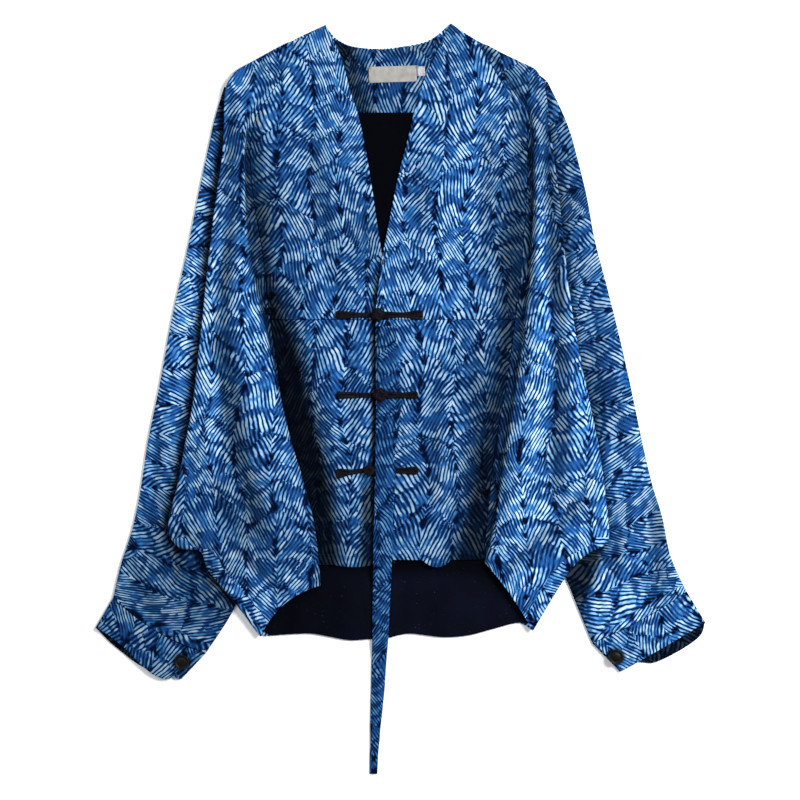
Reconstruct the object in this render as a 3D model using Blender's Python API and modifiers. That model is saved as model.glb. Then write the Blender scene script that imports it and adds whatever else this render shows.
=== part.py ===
# Batwing jacket, lying flat on its back on the floor.
# X runs across the shoulders, Y towards the neck and Z off the floor.
# Left and right are as seen from above. Every size and table is in millimetres.

import bpy
from math import cos, dist, pi, sin
from mathutils import Vector

MM = 0.001

CLOTH = 1.6  # wall of the dyed cotton with its seam allowances
LINING = 1.0
TRIM = 0.6  # label and size tab
SEAM = 0.3  # half of the gap between two panels that are sewn together
CLEAR = 0.4  # clearance between layers that lie on each other

# Middle heights of the layers, from the floor up
FLOOR_Z = CLOTH / 2
LINING_Z = CLOTH + CLEAR + LINING / 2
FRONT_Z = LINING_Z + LINING / 2 + CLEAR + CLOTH / 2
LABEL_Z = LINING_Z + LINING / 2 + CLEAR + TRIM / 2
PUFF = 3.1  # how far a front panel lifts off the layers below
LAP_RISE = CLOTH + CLEAR  # lift of the right front where it laps over the left one
SLEEVE_TOP = 5.4  # upper layer of a flattened sleeve
CUFF_TUCK = 3.3  # the end of a cuff band that lies under its lap
CUFF_LAP = CUFF_TUCK + CLOTH + CLEAR + 0.2

WAIST_Y = 87.0
LAP = 24.0  # width of the left front that lies under the right one
NECK_Y = 158.0  # bottom of the V neck
TURN = 5.0  # cloth past the raglan seam before it turns back under the wing

# Mesh fineness
WING_ROWS = 23
WING_COLUMNS = 25
SLEEVE_ROWS = 15
SLEEVE_COLUMNS = 28
CUFF_ROWS = 4
CUFF_COLUMNS = 33
FRONT_COLUMNS = 8
FINE_STEPS = 12

# One row per section of a wing, from the shoulder to the hem:
# the raglan seam, the inner fold, the outer fold (x, y each), the heights of the inner fold's lip,
# of the crest, of the outer fold and of the cloth turned under it, the width turned under, and
# how far the section bows towards the neck.
WING = {
    "left": (
        (-110, 396, -114, 394.9, -120.5, 393, 4.8, 5.2, 5.0, 4.0, -2.4, 0),
        (-113, 384, -120, 384.2, -136, 384.5, 5.2, 6.4, 5.4, 4.0, -2.4, 0),
        (-121, 368, -129, 369, -157, 372.5, 6.0, 8.2, 6.0, 4.2, -2.4, 0),
        (-134, 349, -142, 350.8, -179.5, 359.5, 7.0, 10.2, 7.4, 5.0, -2.0, 0),
        (-147, 330.5, -154, 333, -190.5, 345.5, 8.2, 12.0, 9.2, 5.9, 2, 0),
        (-158, 314, -165, 315.8, -193, 323, 9.5, 13.5, 11.2, 7.4, 6, 0),
        (-164, 290, -171, 291.2, -193.5, 296, 10.0, 14.0, 12.2, 7.5, 10, 0),
        (-165.5, 263, -172.5, 263, -196, 262, 10.5, 14.5, 12.4, 7.5, 12, 0),
        (-161, 213, -173, 210, -204, 207, 11.5, 15.5, 12.4, 7.5, 16, 0),
        (-152.3, 163, -170, 158, -210.6, 152, 12.4, 17.0, 12.4, 7.5, 20, 0),
        (-146, 105, -156, 101, -217, 92, 12.6, 18.5, 12.6, 7.5, 22, 0),
        (-138, 50, -142, 48, -223, 38, 12.8, 19.5, 12.8, 7.5, 22, 0),
        (-131, 0, -131.4, -1.4, -228.5, -8, 12.8, 19.0, 12.8, 7.5, 22, 0),
        (-124, -45, -120, -48, -236, -47, 12.8, 20.0, 13.0, 7.5, 22, 0),
        (-118, -86, -107, -89, -245, -95, 12.8, 20.5, 13.2, 7.5, 22, 0),
        (-114.5, -123, -97, -127, -255.5, -141, 12.8, 20.0, 13.4, 7.5, 22, 0),
        (-113, -146, -93, -150, -243, -163.5, 12.6, 19.0, 13.2, 7.5, 22, 0),
        (-112, -160, -91, -166, -220, -167, 12.4, 18.0, 13.0, 7.5, 20, 0),
        (-111.5, -168, -90, -178, -211, -188, 12.2, 17.0, 12.6, 7.5, 18, 0),
        (-111, -176, -88.8, -192, -181.5, -224.5, 12.0, 15.0, 10.5, 6.4, 16, 5),
        (-110.5, -183, -88, -205, -154, -262, 11.0, 13.0, 8.8, 4.3, 14, 11),
    ),
    "right": (
        (84, 393, 88, 391.8, 94, 389.5, 4.8, 5.2, 5.0, 4.0, -2.4, 0),
        (92, 381, 99, 380.5, 112, 379.2, 5.2, 6.4, 5.4, 4.0, -2.4, 0),
        (102, 365, 110, 366.2, 131, 369.6, 6.0, 7.8, 6.0, 4.2, -2.4, 0),
        (113.5, 345, 121, 348.2, 148, 360, 7.0, 9.8, 7.4, 5.0, -2.0, 0),
        (126, 329, 133.5, 332.8, 157, 345, 8.2, 11.5, 9.2, 5.9, 2, 0),
        (135.5, 318, 142, 320.5, 160.5, 327, 9.5, 12.5, 11.2, 7.4, 6, 0),
        (139.5, 297, 146.5, 298.2, 163.5, 301, 10.0, 13.0, 12.2, 7.5, 10, 0),
        (140.3, 268, 147.5, 268, 167.5, 268, 10.5, 13.5, 12.4, 7.5, 12, 0),
        (139, 222, 148, 221, 174, 219, 11.5, 14.5, 12.4, 7.5, 14, 0),
        (136, 180, 147, 179, 178.3, 178, 12.0, 15.5, 12.4, 7.5, 16, 0),
        (132, 130, 145, 128, 184.5, 124, 12.4, 16.5, 12.6, 7.5, 18, 0),
        (126, 85, 140, 84, 190.5, 82, 12.6, 17.5, 12.6, 7.5, 20, 0),
        (120.5, 42, 135, 40, 199, 38, 12.8, 18.5, 12.8, 7.5, 22, 0),
        (112, -10, 127, -12, 210, -15, 12.8, 19.0, 12.8, 7.5, 22, 0),
        (104, -56, 119, -58, 219, -60, 12.8, 19.5, 13.0, 7.5, 22, 0),
        (99, -100, 112, -103, 225, -105, 12.6, 20.0, 13.2, 7.5, 22, 0),
        (95, -140, 104, -142, 228.5, -138, 12.4, 19.5, 13.2, 7.5, 22, 0),
        (93.5, -155, 100, -157, 227, -158, 12.2, 18.5, 13.0, 7.5, 22, 0),
        (92.5, -165, 97, -168, 205, -170.5, 12.0, 17.5, 13.0, 7.5, 20, 0),
        (92, -172, 94.5, -175, 184, -192, 11.5, 16.0, 11.5, 7.4, 16, 2),
        (91.9, -177.4, 93, -180, 145.3, -255.5, 8.5, 12.0, 8.8, 4.3, 12, 3),
    ),
}

# One row per section of a sleeve, from the shoulder to the cuff seam:
# the overarm fold and the underarm fold (x, y each), and the bow towards the cuff.
SLEEVE = {
    "left": (
        (-194, 343.5, -179, 337.5, 0),
        (-204, 310, -177, 302, 0),
        (-211.1, 278, -177, 270, 0),
        (-220.5, 234, -178, 224, 0),
        (-235.9, 158, -181, 146, 0),
        (-251.3, 90, -184, 76, 0),
        (-266, 10.7, -186, -5, 0),
        (-277.7, -45.4, -184, -65, 0),
        (-286.5, -102.6, -180, -130, 0),
        (-295.3, -143.9, -174, -178, 0),
        (-307.4, -181.8, -182, -227, 3),
        (-316.2, -219.2, -214.5, -279.5, 8),
    ),
    "right": (
        (161.5, 350, 146, 343, 0),
        (178.3, 315.4, 149, 305, 0),
        (187.6, 291.2, 150, 280, 0),
        (195.3, 262.6, 152, 251, 0),
        (204.8, 224.1, 155, 211, 0),
        (214, 174.6, 158, 161, 0),
        (227.2, 124, 161, 107, 0),
        (240.4, 71.2, 165, 53, 0),
        (252.5, 17.8, 168, -3, 0),
        (265.7, -45.4, 170, -68, 0),
        (276.7, -92.7, 170, -122, 0),
        (288.3, -130.7, 172, -166, 0),
        (297.6, -174.1, 189, -213, 2),
        (314.8, -212.1, 211.5, -268.5, 4),
    ),
}

# The open edge of a cuff: its two ends (x, y each), and the bows of the upper and the floor layer
CUFF_LIP = {
    "left": (-335.7, -252.6, -241.3, -308.3, 11, 10),
    "right": (335.6, -246.7, 242.1, -300.6, -4, 14),
}
CUFF_BUTTON = {"left": (-240.5, -289.5), "right": (237.0, -284.0)}
BUTTON_DIAMETER = 16.0
BUTTON_HEIGHT = 4.5

# Free edges of the fronts: the V neck, then the straight opening (x, y)
FRONT_EDGE = {
    "left": (
        (-82.3, 412.2), (-65.4, 376), (-55.5, 340), (-46.7, 313), (-39, 278),
        (-31.3, 232), (-25.8, 194), (-19.7, NECK_Y), (-8, 120), (-3.5, 87), (-3, 0), (-4, -90), (-6, -181),
    ),
    "right": (
        (55.2, 413.9), (35.8, 373), (25.9, 350.6), (14.5, 313), (6.1, 278),
        (-3.8, 239.5), (-13, 192), (-19.6, NECK_Y), (-24.7, 119.6), (-27.4, 87), (-26.9, 0), (-28, -78),
        (-30.2, -181),
    ),
}
SHOULDER_START = 350.0  # above this the rows of a front turn to meet the shoulder
HEM_DIP = {"left": (-52, 22, -2.5), "right": (40, 16, -8)}  # middle, half width and depth of the hem's sag

BACK_NECK = ((-82.3, 412.2), (-76.4, 402.3), (-65.4, 393.5), (-52.2, 388.4), (-25, 386), (6, 389),
             (27, 393.5), (40.2, 400.5), (55.2, 413.9))
RIGHT_SHOULDER = ((55.2, 413.9), (81.7, 396.8), (119.4, 375.9), (142.5, 364.9), (152, 358), (160.6, 351.6))
LEFT_SHOULDER = ((-192, 347), (-180.9, 359.4), (-162.2, 370.4), (-135.8, 385.8), (-107.2, 401.2),
                 (-82.3, 412.2))
RIGHT_SIDE = ((177, -201), (164.5, -222.5), (145, -255))
LEFT_SIDE = ((-154, -261), (-163.3, -250), (-176.5, -229))
BACK_HEM = ((138, -250), (128.8, -247), (100.7, -254.4), (75.4, -261), (49, -263.2), (28, -261), (7.2, -259),
            (-13, -263.7), (-32.4, -265), (-56.6, -266.5), (-81.3, -262), (-103.9, -259), (-152, -262))
ARMHOLE_END = {"left": -215, "right": -185}
FACING_Y = 315.4  # lower edge of the back neck facing
ARMHOLE_GAP = 1.2  # between the back panel and the sleeve beside it
LINING_INSET = 6.0

LABEL = {"corner_x": -34.6, "corner_y": 348.0, "width": 52.8, "height": 17.6, "tilt": 0.03}
SIZE_TAB = {"corner_x": 18.9, "corner_y": 355.5, "width": 8.2, "height": 10.5, "tilt": 0.03}

# One row per frog, top to bottom: height, outer end of the loop side, knot centre, outer end of the
# knot side, widths of the two ends, knot width and knot height, and how much the loop side tilts.
FROG = (
    (92.2, -71.4, -24.7, 24.8, 9.2, 10.9, 14.3, 8.0, 0.0),
    (4.0, -69.8, -21.9, 19.3, 8.0, 8.8, 15.0, 7.0, 0.0),
    (-79.0, -70.9, -34.4, 19.7, 11.0, 9.0, 12.0, 5.0, -3.5),
)
FROG_WAIST = 5.6  # width of the two cords where they lie close
FROG_HEIGHT = 3.0
FROG_UNDER_TIE = 2.0

# The tie, from its sewn end down: y, left edge, right edge
TIE = (
    (80, -25.6, -4.5), (40, -25.6, -4), (12, -25.2, 0.2), (-8, -26, 0.6), (-33, -27, -1.6), (-63, -27.6, -7),
    (-83, -27.2, -5.5), (-130, -29, -8), (-181, -30.2, -9.5), (-265, -31.3, -13.7), (-331, -32.9, -18.6),
    (-380, -33.4, -23.5), (-413.6, -33.9, -25.5),
)
TIE_ROWS = 32
FRONT_HEM_Y = -186.0
BACK_HEM_Y = -266.0


def between(a, b, c, d, t):
    # A value on the smooth curve from b to c, with a and d as its neighbours
    bend = 2 * a - 5 * b + 4 * c - d
    return 0.5 * (2 * b + (c - a) * t + bend * t ** 2 + (3 * b - a - 3 * c + d) * t ** 3)


def smooth_step(value):
    value = min(max(value, 0.0), 1.0)
    return value * value * (3 - 2 * value)


def spread(rows, count, plan):
    # Rows at even steps along the smooth curves through a table; plan is how many columns are places
    last = len(rows) - 1
    fine = []
    for i in range(last):
        near = (rows[max(i - 1, 0)], rows[i], rows[i + 1], rows[min(i + 2, last)])
        for step in range(FINE_STEPS):
            fine.append([between(*values, step / FINE_STEPS) for values in zip(*near)])
    fine.append(list(rows[last]))
    travelled = [0.0]
    for before, after in zip(fine, fine[1:]):
        travelled.append(travelled[-1] + dist(before[:plan], after[:plan]))
    chosen = []
    place = 0
    for i in range(count):
        target = travelled[-1] * i / (count - 1)
        while place < len(travelled) - 2 and travelled[place + 1] < target:
            place += 1
        part = (target - travelled[place]) / (travelled[place + 1] - travelled[place])
        chosen.append([a + (b - a) * part for a, b in zip(fine[place], fine[place + 1])])
    return chosen


def read_line(line, y):
    # x at a height y on a line of (x, y) points that runs downwards
    for (x_above, y_above), (x_below, y_below) in zip(line, line[1:]):
        if y >= y_below:
            return x_below + (x_above - x_below) * (y - y_below) / (y_above - y_below)
    return line[-1][0]


def soft_section(points, count, closed=False):
    # A cloth section that rounds off the corners of the line through its points
    if closed:
        ring = points + points[:3]
        spans = len(points)
        places = [i * spans / count for i in range(count)]
    else:
        ring = [points[0]] * 2 + points + [points[-1]] * 2
        spans = len(ring) - 3
        places = [i * spans / (count - 1) for i in range(count)]
    section = []
    for place in places:
        span = min(int(place), spans - 1)
        t = place - span
        weights = ((1 - t) ** 3, 3 * t ** 3 - 6 * t ** 2 + 4, -3 * t ** 3 + 3 * t ** 2 + 3 * t + 1, t ** 3)
        total = Vector((0, 0, 0))
        for point, weight in zip(ring[span:span + 4], weights):
            total += point * (weight / 6)
        section.append(total)
    return section


def finish(name, color, roughness):
    material = bpy.data.materials.new(name)
    material.use_nodes = True
    shader = material.node_tree.nodes["Principled BSDF"]
    shader.inputs["Base Color"].default_value = (*color, 1)
    shader.inputs["Roughness"].default_value = roughness
    shader.inputs["Metallic"].default_value = 0.0
    return material


def add_part(name, data, material):
    part = bpy.data.objects.new(name, data)
    part.data.materials.append(material)
    jacket.objects.link(part)
    return part


def sheet(name, rows, wall, material, ring=False):
    # A cloth panel: a grid through rows of points, given its wall on both sides
    columns = len(rows[0])
    steps = columns if ring else columns - 1
    points = [point * MM for row in rows for point in row]
    faces = []
    for i in range(len(rows) - 1):
        for j in range(steps):
            k = (j + 1) % columns
            faces.append((i * columns + j, i * columns + k, (i + 1) * columns + k, (i + 1) * columns + j))
    mesh = bpy.data.meshes.new(name)
    mesh.from_pydata(points, [], faces)
    mesh.shade_smooth()
    panel = add_part(name, mesh, material)
    solidify = panel.modifiers.new("wall", "SOLIDIFY")
    solidify.thickness = wall * MM
    solidify.offset = 0
    return panel


def flat_piece(name, outline, height, wall, material):
    # A flat panel: a filled outline as thick as its wall
    curve = bpy.data.curves.new(name, "CURVE")
    curve.dimensions = "2D"
    curve.fill_mode = "BOTH"
    curve.extrude = wall * MM / 2
    spline = curve.splines.new("POLY")
    spline.points.add(len(outline) - 1)
    for point, (x, y) in zip(spline.points, outline):
        point.co = (x * MM, y * MM, 0, 1)
    spline.use_cyclic_u = True
    piece = add_part(name, curve, material)
    piece.location.z = height * MM
    return piece


def joined(*stretches):
    # One outline from stretches that share their end points
    outline = []
    for stretch in stretches:
        outline += [tuple(point) for point in stretch[:-1]]
    outline.append(tuple(stretches[-1][-1]))
    return outline


def wing_section(row):
    seam_x, seam_y, fold_x, fold_y, outer_x, outer_y, lip, crest, edge, under, turned, bow = row
    seam = Vector((seam_x, seam_y, 0))
    fold = Vector((fold_x, fold_y, 0))
    outer = Vector((outer_x, outer_y, 0))
    side_on = Vector((1 if outer_x > seam_x else -1, 0, 0))
    outwards = side_on.lerp((outer - seam).normalized(), smooth_step((seam_y - 230) / 60))
    across = outer - fold
    towards_neck = Vector((-across.y, across.x, 0)).normalized()
    if towards_neck.y < 0:
        towards_neck = -towards_neck
    seam = seam + side_on * SEAM
    strip = min(TURN, across.length / 5)
    turn = seam + outwards * strip
    rise = lip - FRONT_Z
    ramp = min(max((fold - turn).dot(outwards) / 3, 0), 1)  # 0 where the fold lies back over the seam
    slope = (fold - turn) * ramp
    back = across.normalized() * turned  # points outwards along the shoulder, where nothing is turned under
    spare = min(max(-turned / 2, 0), 1)
    drop = (edge - under) * spare

    def lifted(place, height):
        return Vector((place.x, place.y, height))

    def top(part, height):
        return lifted(fold + across * part + towards_neck * (bow * 4 * part * (1 - part)), height)

    return [
        lifted(seam, FRONT_Z),
        lifted(seam + outwards * strip / 2, FRONT_Z),
        lifted(turn, FRONT_Z),
        lifted(turn + slope * 0.35, FRONT_Z + rise * (0.5 - 0.35 * ramp)),
        lifted(fold - slope * 0.3, FRONT_Z + rise * (0.5 + 0.1 * ramp)),
        lifted(fold, lip),
        top(0.1, lip + 0.55 * (crest - lip)),
        top(0.28, crest),
        top(0.5, crest),
        top(0.72, crest - 0.4 * (crest - edge)),
        top(0.9, edge + 0.15 * (crest - edge)),
        lifted(outer, edge),
        lifted(outer - back * spare / 3, under + drop * 2 / 3),
        lifted(outer - back * (1 / 2 + spare / 6), under + drop / 3),
        lifted(outer - back, under),
    ]


def tube_place(over, under, part, bow, away):
    # A place on the line from the overarm fold to the underarm fold, bowed along the sleeve
    return over + (under - over) * part + away * (bow * 4 * part * (1 - part))


def along_sleeve(over, under):
    # The direction down the sleeve, square to a section
    across = (under - over).normalized()
    away = Vector((-across.y, across.x, 0))
    return -away if away.y > 0 else away


def sleeve_section(row):
    over_x, over_y, under_x, under_y, bow = row
    over = Vector((over_x, over_y, 0))
    under = Vector((under_x, under_y, 0))
    width = (under - over).length
    away = along_sleeve(over, under)
    low = 3.2 + 0.6 * smooth_step((width - 20) / 40)
    puff = 3.3 + (SLEEVE_TOP - 3.3) * smooth_step((width - 20) / 60)
    rim = min(5, width * 0.25)
    stations = (
        (1, FLOOR_Z), (rim, FLOOR_Z), (width * 0.35, FLOOR_Z), (width * 0.65, FLOOR_Z),
        (width - rim, FLOOR_Z), (width - 1, FLOOR_Z), (width, 2.0), (width - 1, low), (width - rim, low),
        (width * 0.65, puff), (width * 0.35, puff), (rim, puff), (1, low), (0, 2.0),
    )
    section = []
    for distance, height in stations:
        place = tube_place(over, under, distance / width, bow, away)
        section.append(Vector((place.x, place.y, height)))
    return section


def cuff_section(row):
    # The band starts on top near the underarm fold, runs round along the floor and laps over its start
    over_x, over_y, under_x, under_y, bow_top, bow_floor = row
    over = Vector((over_x, over_y, 0))
    under = Vector((under_x, under_y, 0))
    width = (under - over).length
    away = along_sleeve(over, under)
    stations = (
        (width - 17, CUFF_TUCK, bow_top), (width - 11, CUFF_TUCK, bow_top), (width - 5, CUFF_TUCK, bow_top),
        (width - 1, CUFF_TUCK, bow_top), (width, 2.0, bow_floor), (width - 1, FLOOR_Z, bow_floor),
        (width - 6, FLOOR_Z, bow_floor), (width * 0.65, FLOOR_Z, bow_floor),
        (width * 0.35, FLOOR_Z, bow_floor), (6, FLOOR_Z, bow_floor), (1, FLOOR_Z, bow_floor),
        (0, 2.2, bow_floor), (1, 4.2, bow_top),
        (6, 5.0, bow_top), (width * 0.3, 5.4, bow_top), (width * 0.6, 5.4, bow_top),
        (width * 0.78, CUFF_LAP, bow_top), (width - 12, CUFF_LAP, bow_top), (width - 7, CUFF_LAP, bow_top),
    )
    section = []
    for distance, height, bow in stations:
        place = tube_place(over, under, distance / width, bow, away)
        section.append(Vector((place.x, place.y, height)))
    return section


def front_height(side, x, seam_x, edge_x, y):
    from_seam = abs(x - seam_x)
    from_edge = abs(edge_x - x)
    settle = smooth_step((from_seam - 12) / 45)
    if side == "left":
        return FRONT_Z + settle * PUFF * smooth_step((from_edge - LAP - 6) / 45)
    lift = LAP_RISE * smooth_step((NECK_Y + 47 - y) / 40)
    return FRONT_Z + settle * (lift + (PUFF - lift) * smooth_step(from_edge / 50))


def front_row(side, seam_y, hem=0.0):
    # One row of a front panel, from the raglan seam to its free edge
    seam_x = read_line(seam_line[side], seam_y) + (SEAM if side == "left" else -SEAM)
    top_y = seam_line[side][0][1]
    rise = (edge_line[side][0][1] - top_y) * max((seam_y - SHOULDER_START) / (top_y - SHOULDER_START), 0)
    edge_y = seam_y + rise
    edge_x = read_line(edge_line[side], edge_y)
    middle, half_width, depth = HEM_DIP[side]
    row = []
    for j in range(FRONT_COLUMNS):
        part = j / (FRONT_COLUMNS - 1)
        x = seam_x + (edge_x - seam_x) * part
        y = seam_y + rise * part + hem * depth * max(0, 1 - ((x - middle) / half_width) ** 2)
        row.append(Vector((x, y, front_height(side, x, seam_x, edge_x, y))))
    return row


def surface_height(side, x, y):
    # Height of a front panel's outer face
    seam_x = read_line(seam_line[side], y)
    edge_x = read_line(edge_line[side], y)
    return front_height(side, x, seam_x, edge_x, y) + CLOTH / 2


def tie_height(x, y):
    # Middle of the tie's wall: on the right front, over the lowest frog, then on the lining and the floor
    on_front = surface_height("right", x, max(y, FRONT_HEM_Y + 5)) + CLEAR + 0.2 + CLOTH / 2
    frog_y = FROG[2][0]
    on_front += (FROG_UNDER_TIE + CLEAR) * smooth_step(1.6 - abs(y - frog_y) / 14)
    on_lining = LINING_Z + LINING / 2 + CLEAR + CLOTH / 2
    down_to_lining = smooth_step((FRONT_HEM_Y - y) / 28)
    down_to_floor = smooth_step((BACK_HEM_Y - 1 - y) / 22)
    height = on_front + (on_lining - on_front) * down_to_lining
    return height + (FLOOR_Z - on_lining) * down_to_floor


def cord_section(x, y, base, width, height, grooved):
    # Section of a frog: two cords side by side, or one round knot
    section = []
    for k in range(10):
        angle = 2 * pi * k / 10
        waist = 1 - 0.3 * grooved * abs(sin(angle)) ** 3
        section.append(Vector((x, y + cos(angle) * width / 2, base + height / 2 * (1 + sin(angle) * waist))))
    return section


def loft(name, sections, material):
    # A solid through rings of equal count, closed at both ends
    count = len(sections[0])
    points = [point * MM for section in sections for point in section]
    faces = [tuple(range(count - 1, -1, -1)), tuple(range(len(points) - count, len(points)))]
    for i in range(len(sections) - 1):
        for j in range(count):
            k = (j + 1) % count
            faces.append((i * count + j, i * count + k, (i + 1) * count + k, (i + 1) * count + j))
    mesh = bpy.data.meshes.new(name)
    mesh.from_pydata(points, [], faces)
    mesh.shade_smooth()
    mesh.set_sharp_from_angle(angle=1.0)
    return add_part(name, mesh, material)


def frog_pair(number, row):
    y, loop_end, knot_x, knot_end, loop_width, end_width, knot_width, knot_height, tilt = row
    loop_reach = knot_x - knot_width / 2 - CLEAR
    loop = []
    widths = (
        (0, loop_width * 0.8), (0.04, loop_width), (0.22, loop_width * 0.95), (0.5, FROG_WAIST + 1.2),
        (0.8, FROG_WAIST), (0.98, FROG_WAIST), (1, FROG_WAIST * 0.8),
    )
    for part, width in widths:
        x = loop_end + (loop_reach - loop_end) * part
        here = y + tilt * (1 - part)
        base = max(surface_height("left", x, here), surface_height("left", x + 4, here)) + CLEAR
        if x > read_line(edge_line["right"], here) - 3:
            base = FRONT_Z + LAP_RISE + CLOTH / 2 + CLEAR
        loop.append(cord_section(x, here, base, width, FROG_HEIGHT * (0.7 if part in (0, 1) else 1), 1))
    loft(f"frog_{number}_loop", loop, frog_cord)

    covered = number == 3
    knot = []
    on_tie = tie_height(0, y) + CLOTH / 2 + CLEAR
    on_front = FRONT_Z + LAP_RISE + CLOTH / 2 + CLEAR
    low = on_front if covered or number == 1 else on_tie
    stations = (
        (knot_x - knot_width * 0.5, 0.35, 0.4), (knot_x - knot_width * 0.38, 0.75, 0.8), (knot_x, 1, 1),
        (knot_x + knot_width * 0.3, 0.85, 0.85), (knot_x + knot_width * 0.48, 0.5, 0.4),
    )
    for x, wide, high in stations:
        base = low + knot_height * (1 - high) * 0.25
        knot.append(cord_section(x, y, base, knot_width * wide, knot_height * high, 0))
    neck = knot_x + knot_width * 0.62
    bar_height = FROG_UNDER_TIE if covered else FROG_HEIGHT
    widths = (
        (0, FROG_WAIST), (0.35, FROG_WAIST), (0.6, FROG_WAIST + 1.4), (0.85, end_width * 0.95),
        (0.96, end_width), (1, end_width * 0.8),
    )
    for part, width in widths:
        x = neck + (knot_end - neck) * part
        over_tie = 1 - smooth_step((x - 2) / 9)
        surface = max(surface_height("right", x, y), surface_height("right", x + 4, y)) + CLEAR
        base = max(surface, low * over_tie + surface * (1 - over_tie))
        height = bar_height if x < 2 else FROG_HEIGHT
        knot.append(cord_section(x, y, base, width, height * (0.7 if part == 1 else 1), 1))
    loft(f"frog_{number}_knot", knot, frog_cord)


def slip(name, sizes, material):
    # A small flat piece with square corners
    width = sizes["width"]
    height = sizes["height"]
    tilt = sizes["tilt"]
    corners = []
    for along, up in ((0, 0), (width, 0), (width, height), (0, height)):
        x = sizes["corner_x"] + along * cos(tilt) - up * sin(tilt)
        y = sizes["corner_y"] + along * sin(tilt) + up * cos(tilt)
        corners.append((x, y))
    return flat_piece(name, corners, LABEL_Z, TRIM, material)


def cuff(side, dyed):
    last = SLEEVE[side][-1]
    over = Vector((last[0], last[1], 0))
    under = Vector((last[2], last[3], 0))
    step = along_sleeve(over, under) * (2 * SEAM)
    start = (over.x + step.x, over.y + step.y, under.x + step.x, under.y + step.y, last[4], last[4])
    stations = spread((start, CUFF_LIP[side]), CUFF_ROWS, 4)
    sheet(f"cuff_{side}", [soft_section(cuff_section(row), CUFF_COLUMNS) for row in stations], CLOTH, dyed)
    x, y = CUFF_BUTTON[side]
    base = CUFF_LAP + CLOTH / 2 + CLEAR
    bpy.ops.mesh.primitive_cylinder_add(
        vertices=20, radius=BUTTON_DIAMETER * MM / 2, depth=BUTTON_HEIGHT * MM,
        location=(x * MM, y * MM, (base + BUTTON_HEIGHT / 2) * MM))
    button = bpy.context.object
    button.name = f"cuff_button_{side}"
    bevel = button.modifiers.new("rounded rim", "BEVEL")
    bevel.width = 1.3 * MM
    bevel.segments = 2
    bevel.limit_method = "ANGLE"
    button.data.shade_smooth()
    button.data.set_sharp_from_angle(angle=0.9)
    button.data.materials.append(button_finish)
    for collection in list(button.users_collection):
        collection.objects.unlink(button)
    jacket.objects.link(button)


for old in list(bpy.data.objects):
    bpy.data.objects.remove(old)

jacket = bpy.data.collections.new("batwing_jacket")
bpy.context.scene.collection.children.link(jacket)

dyed_cotton = finish("resist-dyed cotton", (0.07, 0.2, 0.5), 0.8)
dark_lining = finish("black lining", (0.006, 0.008, 0.016), 0.7)
frog_cord = finish("black cloth cord", (0.01, 0.008, 0.012), 0.75)
button_finish = finish("black shank button", (0.012, 0.01, 0.014), 0.5)
label_finish = finish("woven label", (0.55, 0.52, 0.44), 0.8)

# Wings come first, because the fronts follow their seam points
wing_rows = {side: spread(WING[side], WING_ROWS, 6) for side in WING}
seam_line = {side: [(row[0], row[1]) for row in wing_rows[side]] for side in WING}
edge_line = {side: spread(FRONT_EDGE[side], 60, 2) for side in FRONT_EDGE}
for side in WING:
    sections = [soft_section(wing_section(row), WING_COLUMNS) for row in wing_rows[side]]
    sheet(f"wing_{side}", sections, CLOTH, dyed_cotton)

# Fronts, cut across at the waist
for side in WING:
    heights = [y for x, y in seam_line[side]]
    upper = [y for y in heights if y > WAIST_Y + 8] + [WAIST_Y + SEAM]
    lower = [WAIST_Y - SEAM] + [y for y in heights if y < WAIST_Y - 8]
    sheet(f"front_{side}_upper", [front_row(side, y) for y in upper], CLOTH, dyed_cotton)
    lower_rows = [front_row(side, y, hem=smooth_step((-140 - y) / 40)) for y in lower]
    sheet(f"front_{side}_lower", lower_rows, CLOTH, dyed_cotton)

# Sleeves and cuffs, flattened tubes on the floor
sleeve_rows = {side: spread(SLEEVE[side], SLEEVE_ROWS, 4) for side in SLEEVE}
for side in SLEEVE:
    rings = [soft_section(sleeve_section(row), SLEEVE_COLUMNS, closed=True) for row in sleeve_rows[side]]
    sheet(f"sleeve_{side}", rings, CLOTH, dyed_cotton, ring=True)
    cuff(side, dyed_cotton)


def armhole(side, step):
    # The back panel's edge beside the sleeve, on the sleeve's own rows
    inward = step if side == "left" else -step
    return [(row[2] + inward, row[3]) for row in sleeve_rows[side] if row[3] > ARMHOLE_END[side]]


right_edge = [RIGHT_SHOULDER[-1], (145, 344.5)] + armhole("right", ARMHOLE_GAP) + [RIGHT_SIDE[0]]
left_edge = [LEFT_SIDE[-1]] + armhole("left", ARMHOLE_GAP)[::-1] + [LEFT_SHOULDER[0]]
back_outline = joined(
    spread(BACK_NECK, 16, 2), RIGHT_SHOULDER, right_edge, RIGHT_SIDE, [RIGHT_SIDE[-1], BACK_HEM[0]],
    spread(BACK_HEM, 24, 2), [BACK_HEM[-1], LEFT_SIDE[0]], LEFT_SIDE, left_edge, LEFT_SHOULDER[:-1])
flat_piece("back_panel", back_outline, FLOOR_Z, CLOTH, dyed_cotton)


def inset_side(side):
    # The lining's side, inside the back panel's armhole
    return [(x, y) for x, y in armhole(side, LINING_INSET) if y < FACING_Y - 12]


lining_top = [(-172, FACING_Y - 1), (142, FACING_Y - 1)]
lining_hem = [(x, y + 1.2) for x, y in spread(BACK_HEM, 24, 2)][1:-1]
lining_outline = (lining_top + inset_side("right") + [(173, -196), (140, -247)] + lining_hem
                  + [(-150, -257), (-172, -228)] + inset_side("left")[::-1])
flat_piece("back_lining", lining_outline, LINING_Z, LINING, dark_lining)

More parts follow.
